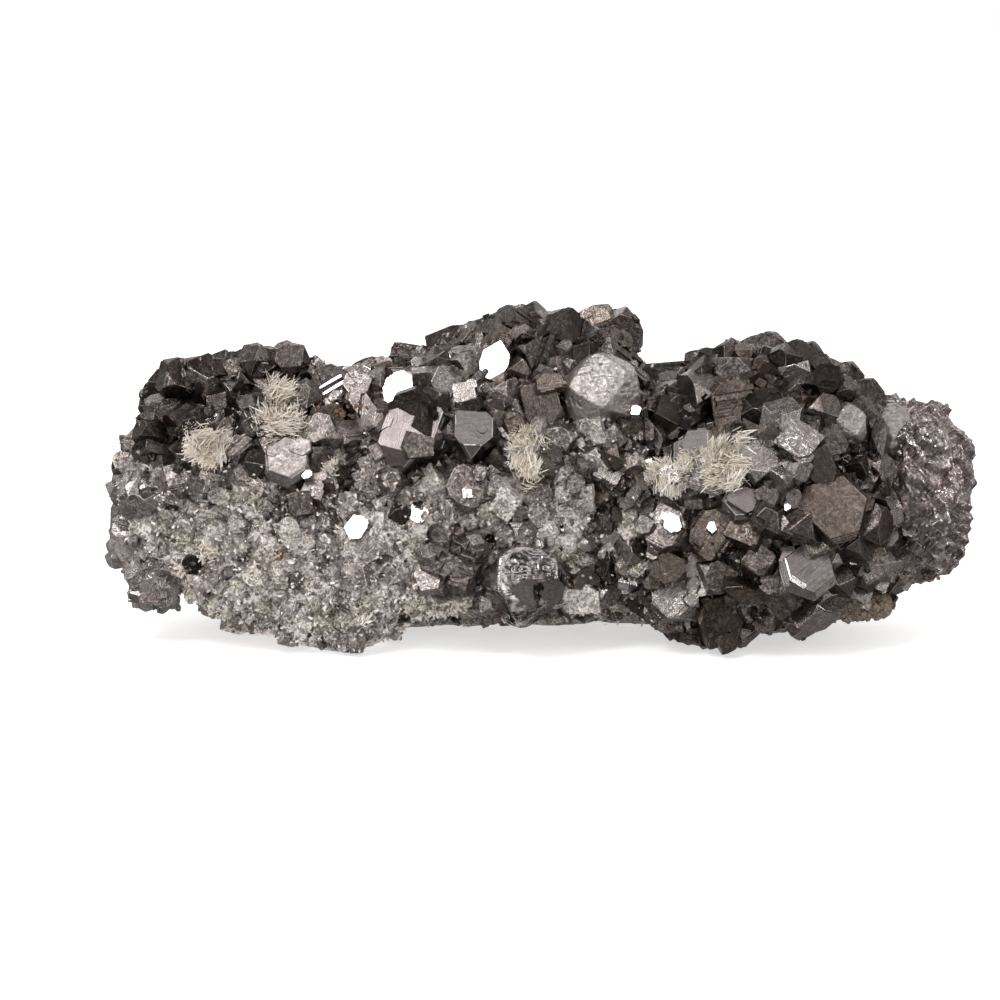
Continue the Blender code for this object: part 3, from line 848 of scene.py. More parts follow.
# The viewing point, in millimetres: the line of sight comes down at a tilt and meets a point to the left
# of the specimen's middle and below it. A place on the display side is given across from that middle
# and up from the foot, on the plane square to the line of sight.
VIEW_TILT, VIEW_DISTANCE = radians(10), 750.0
AIM_LEFT, AIM_DOWN, AIM_ABOVE_FOOT = 11.1, 7.5, 42.0
TO_VIEWER = np.array([0, -cos(VIEW_TILT), sin(VIEW_TILT)])
VIEW_UP = np.array([0, sin(VIEW_TILT), cos(VIEW_TILT)])
MIDDLE = np.array([(a + b) / 2 / MM for a, b in zip(*CAD_BOX)])
VIEW_AIM = MIDDLE + [-AIM_LEFT, 0, 0] - VIEW_UP * AIM_DOWN


def facing(turn, tip):
    """The direction that is turned from -Y towards +X and tipped up, both in degrees."""
    turn, tip = radians(turn), radians(tip)
    return np.array([sin(turn) * cos(tip), -cos(turn) * cos(tip), sin(tip)])


def seen_point(tree, across, up):
    """The first surface that the line from the viewing point meets through a place on the display side."""
    eye = VIEW_AIM + TO_VIEWER * VIEW_DISTANCE
    through = VIEW_AIM + np.array([across + AIM_LEFT, 0, 0]) + VIEW_UP * (up - AIM_ABOVE_FOOT)
    hit = tree.ray_cast(Vector(eye), Vector(unit(through - eye)))[0]
    return None if hit is None else np.array(hit)


# Each crystal's galena, its tone from dark (0) to light (1), and how many hillocks it has.
FINISHES = {
    "dome_crystal": ("frosted", 0.78, 60), "grey_twin_left": ("frosted", 0.75, 26),
    "grey_twin_right": ("frosted", 0.85, 34), "mottled_peak_crystal": ("etched", 0.05, 40),
    "big_silver_crystal": ("smooth", 0.5, 46), "split_face_crystal": ("smooth", 0.05, 8),
    "white_face_crystal": ("smooth", 0.85, 3), "tall_white_face_crystal": ("smooth", 0.85, 3),
    "heart_face_crystal": ("smooth", 0.05, 6), "hexagon_plate": ("brown", 0.55, 8),
    "mauve_hexagon": ("smooth", 0.25, 8), "mauve_face_crystal": ("smooth", 0.2, 6),
    "mauve_plate_crystal": ("smooth", 0.2, 8), "pale_chip": ("frosted", 0.3, 8),
    "rough_round_crystal": ("etched", 0.35, 60), "low_centre_crystal": ("etched", 0.4, 36),
    "purple_face_crystal": ("etched", 0.35, 24), "ringed_crystal": ("etched", 0.4, 26),
    "lower_faceted_crystal": ("bright", 0.45, 24), "veined_crystal": ("brown", 0.5, 26),
    "right_brown_crystal": ("brown", 0.2, 30), "rust_block": ("brown", 0.3, 14),
    "crown_top_plate": ("bright", 0.4, 10), "crown_ridge_crystal": ("brown", 0.6, 20),
    "crown_left_crystal": ("bright", 0.35, 16), "left_shoulder_block": ("dark", 0.35, 60),
    "left_edge_block": ("dark", 0.5, 60), "left_peak_block": ("dark", 0.6, 30),
    "second_peak_block": ("dark", 0.35, 40), "left_rim_crystal": ("etched", 0.6, 30),
    "left_low_block": ("bright", 0.4, 26), "left_flat_plate": ("dark", 0.35, 20),
    "fan_striped_crystal": ("bright", 0.6, 4), "striped_block": ("dark", 0.6, 4),
    "grey_bar_crystal": ("bright", 0.5, 6), "hooded_crystal": ("etched", 0.1, 24),
    "gable_crystal": ("brown", 0.8, 12), "toe_crystal": ("brown", 0.2, 14),
}

OTHER_FINISH = ("dark", 0.35, 16)

# The turn and tip, in degrees, of a face that mirrors the bright key panel, and the dimmer overhead panel,
# to the viewing point.
TO_KEY, TO_OVERHEAD = (-13, 32), (4, 38)

# Faces that catch the light or stay black: across and up, width and height in millimetres, roll, turn and
# tip in degrees, the galena, its tone, and how far the face stands out in millimetres. The tone is painted:
# light on faces that catch the light, a painted highlight over what they mirror, and near black on faces
# that stay black, as painted shade.
LIT_FACES = (
    (-36.0, 68.8, 13.0, 7.0, 4, -20, 4, "dark", 0.05, 1.6),
    (-5.6, 15.0, 8.6, 6.6, 12, -24, 2, "smooth", 0.1, 0.6),
    (3.6, 16.0, 7.4, 6.4, -14, 22, 2, "smooth", 0.1, 0.6),
    (0.2, 16.0, 1.8, 4.6, -10, 4, -16, "dark", 0.0, 1.2),
    (-33.0, 63.6, 4.6, 9.0, 10, -24, 6, "dark", 0.1, 1.6),
    (-33.6, 57.4, 8.0, 5.4, -10, 10, 12, "etched", 0.3, 1.2),
    (-19.6, 67.6, 6.4, 5.0, 30, -24, 6, "dark", 0.05, 1.6),
    (-52.0, 34.4, 5.6, 7.2, 24, *TO_KEY, "smooth", 0.9, 1.5),
    (-34.7, 38.4, 5.2, 5.4, 45, *TO_KEY, "smooth", 0.9, 1.2),
    (-31.2, 20.7, 6.8, 9.0, -8, -9, 31, "etched", 0.95, 1.5),
    (-52.0, 75.0, 3.4, 4.4, -30, *TO_KEY, "smooth", 0.9, 3.2),
    (-59.3, 75.6, 8.0, 0.7, 36, *TO_KEY, "smooth", 0.9, 1.6),
    (-58.2, 73.9, 8.6, 0.8, 36, *TO_KEY, "smooth", 0.9, 1.6),
    (-57.0, 72.2, 7.6, 0.7, 36, *TO_KEY, "smooth", 0.9, 1.6),
    (-3.0, 93.6, 13.0, 4.4, -8, 8, 37, "smooth", 0.02, 0.5),
    (-18.0, 90.6, 9.0, 5.0, 16, *TO_OVERHEAD, "smooth", 0.02, 0.8),
    (-8.0, 92.6, 4.6, 1.8, -6, *TO_KEY, "smooth", 0.9, 2.0),
    (-66.0, 49.4, 3.2, 1.6, 10, *TO_KEY, "smooth", 0.9, 1.0),
    (27.5, 67.5, 3.0, 2.6, 20, *TO_KEY, "smooth", 0.9, 1.2),
    (31.0, 58.2, 4.2, 5.2, 30, *TO_KEY, "bright", 0.95, 1.3),
    (30.4, 53.2, 3.4, 2.6, -20, *TO_KEY, "smooth", 0.9, 1.2),
    (46.0, 58.0, 9.6, 9.8, 30, *TO_OVERHEAD, "smooth", 0.25, 1.6),
    (58.4, 42.0, 10.2, 6.8, -14, *TO_OVERHEAD, "smooth", 0.25, 1.6),
    (37.5, 35.8, 4.0, 6.2, 20, *TO_KEY, "smooth", 0.9, 2.0),
    (49.0, 34.4, 2.4, 3.2, 20, -10, 33, "smooth", 0.5, 1.2),
    (70.6, 40.8, 1.5, 4.4, -8, *TO_KEY, "smooth", 0.9, 1.6),
    (98.8, 32.0, 5.6, 6.0, 30, 3, 37, "smooth", 0.2, 1.2),
    (70.8, 26.6, 3.8, 5.2, 4, 2, 36, "smooth", 0.5, 1.6),
    (73.6, 18.6, 5.0, 1.6, -30, *TO_KEY, "smooth", 0.9, 1.6),
    (105.0, 33.4, 3.4, 4.2, 20, -9, 33, "etched", 0.9, 1.0),
    (70.8, 82.2, 1.8, 2.8, 10, -8, 34, "smooth", 0.4, 1.0),
    (-23.8, 72.0, 3.0, 3.8, 4, -6, 35, "brown", 0.9, 1.4),
    (-6.4, 73.6, 7.0, 6.0, 16, 6, 37, "smooth", 0.05, 1.0),
    (3.0, 75.6, 8.0, 4.4, 22, 2, 36, "brown", 0.9, 2.2),
    (-20.4, 43.8, 3.0, 2.6, 10, *TO_KEY, "bright", 0.9, 1.2),
    (-66.0, 49.4, 2.6, 2.4, 12, *TO_KEY, "smooth", 0.9, 1.2),
    (-63.6, 39.6, 3.8, 4.4, 18, -8, 34, "bright", 0.7, 1.0),
    (-93.6, 15.0, 2.4, 2.6, 18, *TO_KEY, "bright", 0.8, 0.8),
    (-116.0, 32.6, 4.0, 5.6, 6, -20, 30, "bright", 0.6, 0.8),
    (18.0, 39.0, 3.4, 3.0, 16, *TO_KEY, "bright", 0.7, 1.2),
    (92.0, 15.6, 2.0, 2.4, 16, *TO_KEY, "smooth", 0.8, 1.0),
)


def lit_faces(found):
    """Crystals with one broad face each, turned to the light. The face is cut to an uneven outline of five
    to eight sides by planes that stand across it, or of four for a bar, and a few smaller faces in the
    same directions lie on it."""
    rng = np.random.default_rng(71)
    groups = {}
    for place, (_, _, width, height, roll, turn, tip, finish, tone, proud) in found:
        normal = facing(turn, tip)
        sides = int(rng.integers(5, 9))
        angle = np.cumsum(rng.uniform(0.6, 1.4, sides))
        angle = angle * 2 * pi / angle[-1]
        if max(width, height) > 3 * min(width, height):
            angle = np.arange(4) * pi / 2 + rng.normal(0, 0.02, 4)
        level = unit(np.cross(-normal, [0, 0, 1]))
        upright = np.cross(level, -normal)
        side = cos(radians(roll)) * level + sin(radians(roll)) * upright
        upward = cos(radians(roll)) * upright - sin(radians(roll)) * level
        rim = np.cos(angle)[:, None] * side + np.sin(angle)[:, None] * upward
        reach = np.hypot(np.cos(angle) * width, np.sin(angle) * height) / 2
        reach = reach * rng.uniform(0.8, 1.12, len(angle))
        walls = unit(rim - normal * rng.uniform(-0.35, 0.12, (len(angle), 1)))
        planes = np.vstack([normal, walls, -normal])
        centre = place + TO_VIEWER * proud
        own = np.concatenate([[0.0], reach, [0.7 * max(min(width, height), 2.0)]])
        # Each face takes its row's tone: a painted highlight on faces that catch the light, painted shade on
        # faces that stay black.
        shapes = [solid(planes, planes @ centre + own, tone)]
        for _ in range(3 if finish == "smooth" else 8):
            beside, above = rng.uniform(-0.45, 0.45), rng.uniform(-0.45, 0.45)
            spot = centre + side * beside * width + upward * above * height
            small = own * rng.uniform(0.15, 0.4)
            small[0] = rng.uniform(-0.2, 0.25)
            shapes.append(solid(planes, planes @ spot + small, tone + rng.normal(0, 0.1)))
        groups.setdefault(finish, []).extend(shapes)
    for finish, shapes in groups.items():
        add_galena("lit_faces_" + finish, join(shapes), finish)


def add_in_parts(name, template, along, arrays, material):
    """Copies of a template as two pieces, split at the middle place along the specimen, so that neither
    gets too many faces. The arrays are the copies' rotations, sizes, places and tones."""
    order = np.argsort(along, kind="stable")
    for number, part in enumerate(np.array_split(order, 2)):
        shape = repeated(template, *(array[part] for array in arrays))
        add_piece(f"{name}_{number + 1}", shape, material)


def even_mesh(node, voxel):
    """A node's solid remeshed into even quads, with its points and outward directions in millimetres."""
    source = NODES[node].data.copy()
    bm = bmesh.new()
    bm.from_mesh(source)
    bmesh.ops.remove_doubles(bm, verts=bm.verts, dist=1e-6)
    bm.to_mesh(source)
    bm.free()
    blank = bpy.data.objects.new("blank", source)
    bpy.context.scene.collection.objects.link(blank)
    remesh = blank.modifiers.new("even", "REMESH")
    remesh.mode = "VOXEL"
    remesh.voxel_size = voxel * MM
    graph = bpy.context.evaluated_depsgraph_get()
    mesh = bpy.data.meshes.new_from_object(blank.evaluated_get(graph))
    bpy.data.objects.remove(blank)
    return mesh, read(mesh.vertices, "co") / MM, read(mesh.vertices, "normal")


def add_mesh(name, mesh, points, tones, material, node):
    """Puts moved points and tones back into a remeshed solid, which then stands for its node."""
    points[:, 2] = np.maximum(points[:, 2], 0.0)
    mesh.vertices.foreach_set("co", (points * MM).astype(np.float32).ravel())
    mesh.name = name
    mesh.attributes.new("tone", "FLOAT", "POINT").data.foreach_set("value", tones.astype(np.float32))
    mesh.shade_flat()
    mesh.materials.clear()
    mesh.materials.append(material)
    mesh.update()
    return put_in_scene(name, mesh, (node,))


def stepped(points, axis, pitch, share):
    """Moves points along an axis towards the nearest of evenly spaced levels, so that a slope turns into
    flats and risers."""
    along = points @ axis
    level = (np.floor(along / pitch) + 0.5) * pitch
    return points + np.outer((level - along) * share, axis)


def joined(meshes):
    """Several meshes' points and triangles as one."""
    meshes = list(meshes)
    starts = np.cumsum([0] + [len(points) for points, _ in meshes[:-1]])
    return (
        np.vstack([points for points, _ in meshes]),
        np.vstack([triangles + start for (_, triangles), start in zip(meshes, starts)]),
    )


def tree_of(meshes):
    """A search tree over several meshes."""
    points, triangles = joined(meshes)
    return BVHTree.FromPolygons(points.tolist(), triangles.tolist())


def rounded_crystal(node, finish, tone, corner, streaks, bumps, seed):
    """A crystal with worn corners and an etched skin: its solid remeshed evenly, its points drawn in to a
    soft minimum of the solid and a ball of corner times its usual radius, then moved by low terraces,
    noise and pits, all times bumps. Each crystal face has its own tone, and streaks of lighter and
    darker tone run across it."""
    mesh, points, normals = even_mesh(node, ROUNDED_VOXEL)
    planes, distances = crystal_planes(node)
    middle = (points.min(0) + points.max(0)) / 2
    away = points - middle
    radius = np.linalg.norm(away, axis=1)
    ball = corner * np.median(radius)
    soft = (radius**-18.0 + ball**-18.0) ** (-1 / 18.0)
    nearest = (points @ planes.T - distances).argmax(1)
    points = middle + away * (soft / radius)[:, None]
    level = 2.2 * soft_noise(points * [0.28, 0.28, 1.0], 2.4, seed + 6)
    terrace = np.floor(level) + ramp(level - np.floor(level), 0.7, 1.0)
    rise = 0.12 * terrace + 0.14 * soft_noise(points, 3.4, seed) + 0.08 * soft_noise(points, 0.9, seed + 1)
    pits = ramp(soft_noise(points, 1.1, seed + 2), 0.25, 0.5)
    pits = pits * ramp(soft_noise(points, 5.0, seed + 3), -0.1, 0.2)
    points = points + normals * (bumps * (rise - 0.3 * pits - 0.1))[:, None]
    own = 0.34 * (lattice_numbers(np.stack([nearest, nearest, nearest], 1), seed) - 0.5)
    # The pits are darker: painted shade in the hollows.
    tones = tone + own + 0.14 * soft_noise(points, 2.4, seed + 4) - 0.25 * pits
    tones += streaks * ridged(points, unit(np.array([0.25, -0.4, 0.9])), 3.0, 5.0, seed + 5)
    add_mesh(node + "_growth", mesh, points, tones, GALENAS[finish], node)


# Crystals with worn corners: the ball that rounds them, by the crystal's own radius, how much their tone
# is streaked, and how bumpy they are.
ROUNDED = {
    "dome_crystal": (1.1, 0.0, 0.9), "grey_twin_left": (1.12, 0.0, 1.0), "grey_twin_right": (1.08, 0.0, 1.0),
    "big_silver_crystal": (1.1, 0.4, 0.3), "rough_round_crystal": (1.14, 0.1, 1.0),
    "dark_pool_crystal": (1.16, 0.2, 0.6), "round_dark_crystal": (1.14, 0.0, 1.0),
    "mottled_peak_crystal": (1.2, 0.1, 1.0),
}


def lit_places(tree):
    """Where each lit face sits, with its size: the surface seen at its place, and nothing where no
    surface is seen."""
    found = [(seen_point(tree, row[0], row[1]), row) for row in LIT_FACES]
    return [(place, row) for place, row in found if place is not None]


def seated(tree, places, outward, reach):
    """Moves places out to the surface that has grown over them: each is looked for from outside, back
    along its outward direction. Returns the new places, the surface's directions and which were found."""
    starts = places + outward * reach
    hits = [tree.ray_cast(Vector(s), Vector(-o), reach + 1.0)[:2] for s, o in zip(starts, outward)]
    found = np.array([hit[0] is not None for hit in hits])
    spots = np.array([hit[0] if hit[0] is not None else place for hit, place in zip(hits, places)])
    away = np.array([hit[1] if hit[1] is not None else out for hit, out in zip(hits, outward)])
    away = np.where(((away * outward).sum(1) < 0)[:, None], -away, away)
    return spots, unit(away + 0.3 * outward), found


def named_crystals():
    """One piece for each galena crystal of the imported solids, in its own growth and finish. Smooth ones
    have few plates on their faces, and only crystals below the crest have side crystals."""
    for index, node in enumerate(SUBPARTS):
        if node not in CRYSTALS:
            continue
        finish, tone, hills = FINISHES.get(node, OTHER_FINISH)
        low, high = box_of(node)
        # Crystals without a finish of their own get painted shade for their height.
        if node not in FINISHES:
            tone = tone + 0.12 - 0.5 * float(shaded(low[None] + [0, 0, 6])[0])
        if node in ROUNDED:
            rounded_crystal(node, finish, tone, *ROUNDED[node], 200 + 7 * index)
            continue
        rng = np.random.default_rng(100 + index)
        normals, distances = crystal_planes(node)
        size = (high - low).mean()
        stack = STACKED.get(node)
        if stack is not None:
            stack = int(np.argmax(normals @ CUBE[2 * stack]))
        calm = finish == "smooth"
        shapes = crystal(
            normals, distances, rng, tone, layers=2 if calm else 5, sides=0 if calm or low[2] > 60 else 3,
            stack=stack, pitch=0.09 * size, chamfer=0.012 * size + 0.1, hills=hills,
        )
        add_galena(node + "_growth", join(shapes), finish, (node,))


def templates(rng, count, layers=0, sides=0, stacked=0.0, chamfer=0.0, hills=0):
    """Crystals to repeat: cubes with their corners cut by octahedral faces, each a little uneven, with
    their own growth."""
    made = []
    while len(made) < count:
        habit = rng.uniform(0.6, 0.92)
        reach = np.concatenate([
            0.5 * rng.uniform(0.8, 1.2, 6),
            0.5 * np.sqrt(3) * habit * rng.uniform(0.9, 1.1, 8),
        ])
        stack = int(rng.integers(6)) if rng.random() < stacked else None
        grown = crystal(CRYSTAL_NORMALS, reach * 10, rng, 0.5, layers, sides, stack, 1.3, chamfer, hills)
        if grown:
            shape = join(grown)
            made.append(shape._replace(points=shape.points / 10, lines=shape.lines / 10))
    return made


# Blocks that are clusters of crystals: their galena, tone and the crystals' scale.
CLUSTERED = {
    "left_shoulder_block": ("dark", 0.3, 1.35), "left_edge_block": ("dark", 0.4, 1.25),
    "second_peak_block": ("dark", 0.35, 1.2), "left_peak_block": ("dark", 0.4, 1.1),
    "left_low_block": ("bright", 0.8, 0.75), "left_flat_plate": ("bright", 0.55, 0.9),
    "left_rim_crystal": ("bright", 0.75, 1.1), "ridge_block": ("dark", 0.4, 0.9),
    "rough_round_crystal": ("etched", 0.45, 0.8), "low_centre_crystal": ("etched", 0.5, 0.8),
}


def clusters():
    """Blocks that are many crystals grown together: crystals set deep in the block's surface, all turned
    nearly alike."""
    rng = np.random.default_rng(83)
    library = templates(rng, 14, layers=2, sides=1, stacked=0.3, chamfer=0.35, hills=3)
    groups = {}
    for node, (finish, tone, scale) in CLUSTERED.items():
        points, triangles = mesh_arrays(NODES[node])
        a, b, c = (points[triangles[:, i]] for i in range(3))
        area = 0.5 * np.linalg.norm(np.cross(b - a, c - a), axis=1).sum()
        count = int(area / (16.0 * scale**2))
        places, outward = scattered(points, triangles, count, rng)
        size = scale * (3.4 + 5.6 * rng.beta(1.2, 2.0, count))
        centre = places - outward * (size * rng.uniform(0.16, 0.4, count))[:, None]
        room = 0.35 * np.minimum(size[:, None], points.max(0) - points.min(0))
        centre = np.clip(centre, points.min(0) + room, points.max(0) - room)
        stretch = size[:, None] * rng.uniform(0.8, 1.2, (count, 3))
        rotations = rotation_matrices(rng.normal(size=4) + rng.normal(0, 0.2, (count, 4)))
        tones = np.clip(rng.normal(tone, 0.22, count), 0, 1)
        which = rng.integers(len(library), size=count)
        made = from_library(library, which, rotations, stretch, centre, tones)
        groups.setdefault(finish, []).append(made)
    for finish, shapes in groups.items():
        add_galena("cluster_crystals_" + finish, join(shapes), finish)


def filler_crystals(places, outward, held, held_sizes):
    """Galena crystals between the named ones, from a library of grown crystals. They keep a share of their
    sizes apart, are set into the rock by up to a tenth of their size or stand out by up to a fifth, and
    almost half of them share one orientation with their neighbours. A third are flattened. Most of the
    crystals in the druse are coated with it, and those on the crest are darkest, with painted shade in
    their tones and more of the dark galena there."""
    rng = np.random.default_rng(11)
    x, y, z = places.T
    druse = druse_share(places)
    back = ramp(y, 4, 26)
    dome = np.exp(-(((x - 65) / 36) ** 2)) * (1 - back)
    crown = np.exp(-(((x - 2) / 24) ** 2)) * ramp(z, 74, 82)
    size = 3.0 + 6.6 * rng.beta(1.2, 2.3, len(places))
    size = size * (1 + 0.25 * dome + 0.2 * crown) * (1 - 0.25 * druse)
    chance = (1 - 0.75 * druse) * (1 - 0.25 * back) * (z > 0.45 * size)
    over_brown_band = ramp(x, 84, 92) * (1 - ramp(z, 14, 20))
    chance *= 1 - over_brown_band
    chosen = (rng.random(len(places)) < chance) & (outward[:, 2] > -0.6)
    places, outward, size, druse = places[chosen], outward[chosen], size[chosen], druse[chosen]
    order = np.argsort(-size + rng.uniform(0, 4, len(size)))
    places, outward, size, druse = places[order], outward[order], size[order], druse[order]
    boxes = [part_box(node) for node in CRYSTALS]
    taken = np.array([[(a + b) / 2 / MM for a, b in zip(*pair)] for pair in boxes])
    taken_sizes = np.array([np.mean([(b - a) / MM for a, b in zip(*pair)]) for pair in boxes])
    taken, taken_sizes = np.vstack([taken, held]), np.concatenate([taken_sizes, held_sizes])
    kept = spread_out(places, size, taken, taken_sizes, CLOSENESS)
    places, outward, size, druse = places[kept], outward[kept], size[kept], druse[kept]
    rotations = turned_to(rng, outward, 0.45)
    block = np.floor(places / DOMAIN_WIDTH).astype(np.int64)
    domain = (lattice_numbers(block, 7) * ORIENTATIONS).astype(int)
    shared = turns(rng, ORIENTATIONS + 1)[domain]
    together = rng.random(len(places)) < 0.45
    rotations = np.where(together[:, None, None], shared, rotations)
    centre = places + outward * (size * rng.uniform(-0.1, 0.2, len(size)))[:, None]
    centre[:, 2] = np.maximum(centre[:, 2], 0.85 * size)
    stretch = size[:, None] * rng.uniform(0.8, 1.2, (len(size), 3))
    thin = rng.random(len(size)) < 0.35
    stretch[thin, rng.integers(3, size=thin.sum())] *= rng.uniform(0.3, 0.6, thin.sum())
    # Painted shade: crystals on the crest get darker tones, more of them the dark galena and fewer the
    # bright.
    high = shaded(places)
    tones = np.clip(rng.normal(0.54, 0.3, len(size)) - 0.5 * high, 0.0, 1.0)
    library = templates(rng, 36, layers=1, sides=1, stacked=0.35, chamfer=0.35, hills=2)
    which = rng.integers(len(library), size=len(places))
    drawn = rng.random(len(places))
    coated, etched, brown = 0.9 * druse, 0.27 * (1 - 0.8 * high), 0.17 + 0.01 * high
    shares = np.stack([coated, etched, 0.24 + 0.4 * high, brown, 0.32 * (1 - 0.75 * high)], 1)
    shares[:, 1:] *= (1 - shares[:, :1])
    kinds = (drawn[:, None] > np.cumsum(shares, 1)).sum(1).clip(0, 4)
    made = []
    for kind, finish in enumerate(("coated", "etched", "dark", "brown", "bright")):
        mine = kinds == kind
        shape = from_library(
            library, which[mine], rotations[mine], stretch[mine], centre[mine], tones[mine]
        )
        made.append(add_galena("middle_crystals_" + finish, shape, finish))
    return made


def small_crystals(places, outward):
    """Small galena crystals everywhere between: repeated templates, stretched and turned at random, and
    coated with druse where that takes over."""
    rng = np.random.default_rng(23)
    druse = druse_share(places)
    chosen = rng.random(len(places)) < (1 - 0.6 * druse)
    chosen &= places[:, 2] > 2.0
    places, outward, druse = places[chosen], outward[chosen], druse[chosen]
    size = (1.2 + 3.8 * rng.beta(1.1, 2.4, len(places))) * (1 - 0.25 * druse)
    library = templates(rng, 12, stacked=0.2)
    which = rng.integers(len(library), size=len(places))
    # Painted shade: crystals on the crest get darker tones, and some of the bright ones turn dark.
    high = shaded(places)
    kinds = rng.choice(4, len(places), p=[0.3, 0.3, 0.16, 0.24])
    kinds = np.where((kinds == 3) & (rng.random(len(places)) < 0.5 * high), 1, kinds)
    coated = rng.random(len(places)) < 0.75 * druse
    kinds = np.where(coated, 4, kinds)
    for kind, finish in enumerate(("etched", "dark", "brown", "bright", "coated")):
        shapes = []
        for index, template in enumerate(library):
            mine = (which == index) & (kinds == kind)
            own = size[mine]
            stretch = rng.uniform(0.5, 1.35, (mine.sum(), 3)) * own[:, None]
            centre = places[mine] + outward[mine] * (own * rng.uniform(-0.1, 0.25, mine.sum()))[:, None]
            rotations = turned_to(rng, outward[mine], 0.6)
            tones = np.clip(rng.normal(0.52, 0.32, mine.sum()) - 0.45 * high[mine], 0, 1)
            shapes.append(repeated(template, rotations, stretch, centre, tones))
        add_galena("small_crystals_" + finish, join(shapes), finish)


def druse(places, outward, near):
    """The sparkling crust: short quartz points where it is pale and eight-sided grains of ore where it is
    not, on the rock, on coated crystals and round the feet of the others. The points stand out of the
    surface at a random lean, in clumps of lighter and darker tone."""
    rng = np.random.default_rng(31)
    share = np.maximum(druse_share(places), near)
    chosen = (rng.random(len(places)) < 0.4 + 0.6 * share) & (places[:, 2] > 1.6)
    places, outward, share = places[chosen], outward[chosen], share[chosen]
    pale = rng.random(len(places)) < 0.2 + 0.6 * share
    size = rng.uniform(0.5, 1.3, len(places))
    clump = 0.5 + 0.5 * soft_noise(places, 4.0, 9)
    here, away, own = places[pale], outward[pale], size[pale]
    count = len(here)
    sizes = np.stack([own * 0.42, own * 0.42, own * rng.uniform(1.0, 2.2, count)], 1)
    rotations = turned_to(rng, away, 0.55)
    tones = np.clip(0.35 + 0.5 * clump[pale] + rng.normal(0, 0.25, count), 0, 1)
    starts = here - away * 0.5
    needle = needle_template(3, 0.8)
    copies = (rotations, sizes, starts, tones)
    add_in_parts("quartz_druse", needle, here[:, 0], copies, DRUSE)
    here, away, own = places[~pale], outward[~pale], size[~pale]
    count = len(here)
    grain = solid(OCTAHEDRON, np.full(8, 0.33))
    sizes = rng.uniform(0.7, 1.5, (count, 3)) * own[:, None] * 1.3
    rotations = turned_to(rng, away, 0.8)
    tones = np.clip(rng.normal(0.6, 0.4, count), 0, 1)
    copies = (rotations, sizes, here + away * 0.1, tones)
    add_in_parts("ore_druse", grain, here[:, 0], copies, GALENAS["bright"])


def needle_tuft(name, centre, outward, radius, count, rng, replaced=()):
    """A spray of quartz needles: matted bundles that start near the middle, each bundle leaning out its
    own way and its needles spreading a little."""
    bundles = turned_to(rng, np.repeat(outward[None], BUNDLES, 0), 0.75)[:, :, 2]
    lengths = rng.uniform(0.35, 0.95, BUNDLES)
    roots = rng.normal(0, 0.55 * radius, (BUNDLES, 3))
    drawn = rng.integers(BUNDLES, size=count)
    rotations = turned_to(rng, bundles[drawn], 0.24)
    length = 0.85 * radius * lengths[drawn] * rng.uniform(0.5, 1.0, count)
    width = rng.uniform(0.09, 0.22, count)
    starts = centre + 0.6 * roots[drawn] + rng.normal(0, 0.16 * radius, (count, 3)) - outward * 0.1 * radius
    sizes = np.stack([width, width * rng.uniform(0.6, 1, count), length], 1)
    tones = np.clip(rng.normal(0.6, 0.25, count), 0, 1)
    shape = repeated(needle_template(3, 0.85), rotations, sizes, starts, tones)
    add_piece(name, shape, NEEDLES, replaced)


# Tufts with no solid of their own: across, up (both in millimetres), radius.
EXTRA_TUFTS = (
    (-68, 78, 4.5), (62, 35, 5.0), (20, 13.5, 5.0), (41, 52, 4.0), (-1, 50, 5.0), (5, 63, 3.5),
    (-44, 52, 3.5), (-82, 44, 4.0), (27, 22, 4.5), (-60, 51, 3.5), (-93, 29, 4.0), (-50, 10, 4.5),
)


def tufts(tree):
    """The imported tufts, each in its solid's box, and smaller ones where a place on the display side meets
    the specimen."""
    rng = np.random.default_rng(41)
    for node, slot in SUBPARTS.items():
        if slot == "needles":
            low, high = box_of(node)
            centre = (low + high) / 2 + [0, -0.8, 0]
            radius = 0.74 * (high - low).mean()
            needle_tuft(node + "_spray", centre, facing(0, 30), radius, NEEDLE_COUNT, rng, (node,))
    for number, (across, up, radius) in enumerate(EXTRA_TUFTS):
        place = seen_point(tree, across, up)
        if place is not None:
            outward = facing(rng.uniform(-25, 25), 25)
            needle_tuft(f"small_spray_{number + 1}", place, outward, radius, SMALL_NEEDLE_COUNT, rng)


def rock_skin():
    """The rock as a crust of small facets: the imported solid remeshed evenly, then moved along its own
    normals by noise at three sizes. The flat underside stays flat."""
    mesh, points, normals = even_mesh("host_rock", ROCK_VOXEL)
    lumps = 1.4 * soft_noise(points, 8.0, 1) + 0.9 * soft_noise(points, 3.4, 2)
    rise = lumps + 0.6 * soft_noise(points, 1.7, 3) + 0.35 * soft_noise(points, 1.0, 4)
    rise *= ramp(points[:, 2], 0.2, 3.0)
    points = points + normals * rise[:, None]
    points[:, 2] = np.maximum(points[:, 2], 0.0)
    pale = 0.15 + 0.85 * druse_share(points)
    return add_mesh("rock_crust", mesh, points, pale, ROCK, "host_rock")


def ridged(points, along, size, stretch, salt):
    """Sharp-crested ridges drawn out along a direction: one less the size of soft noise, taken where the
    points' own distance along that direction is shrunk."""
    drawn = points - np.outer(points @ along, along) * (1 - 1 / stretch)
    return 1 - 2 * np.abs(soft_noise(drawn, size, salt))


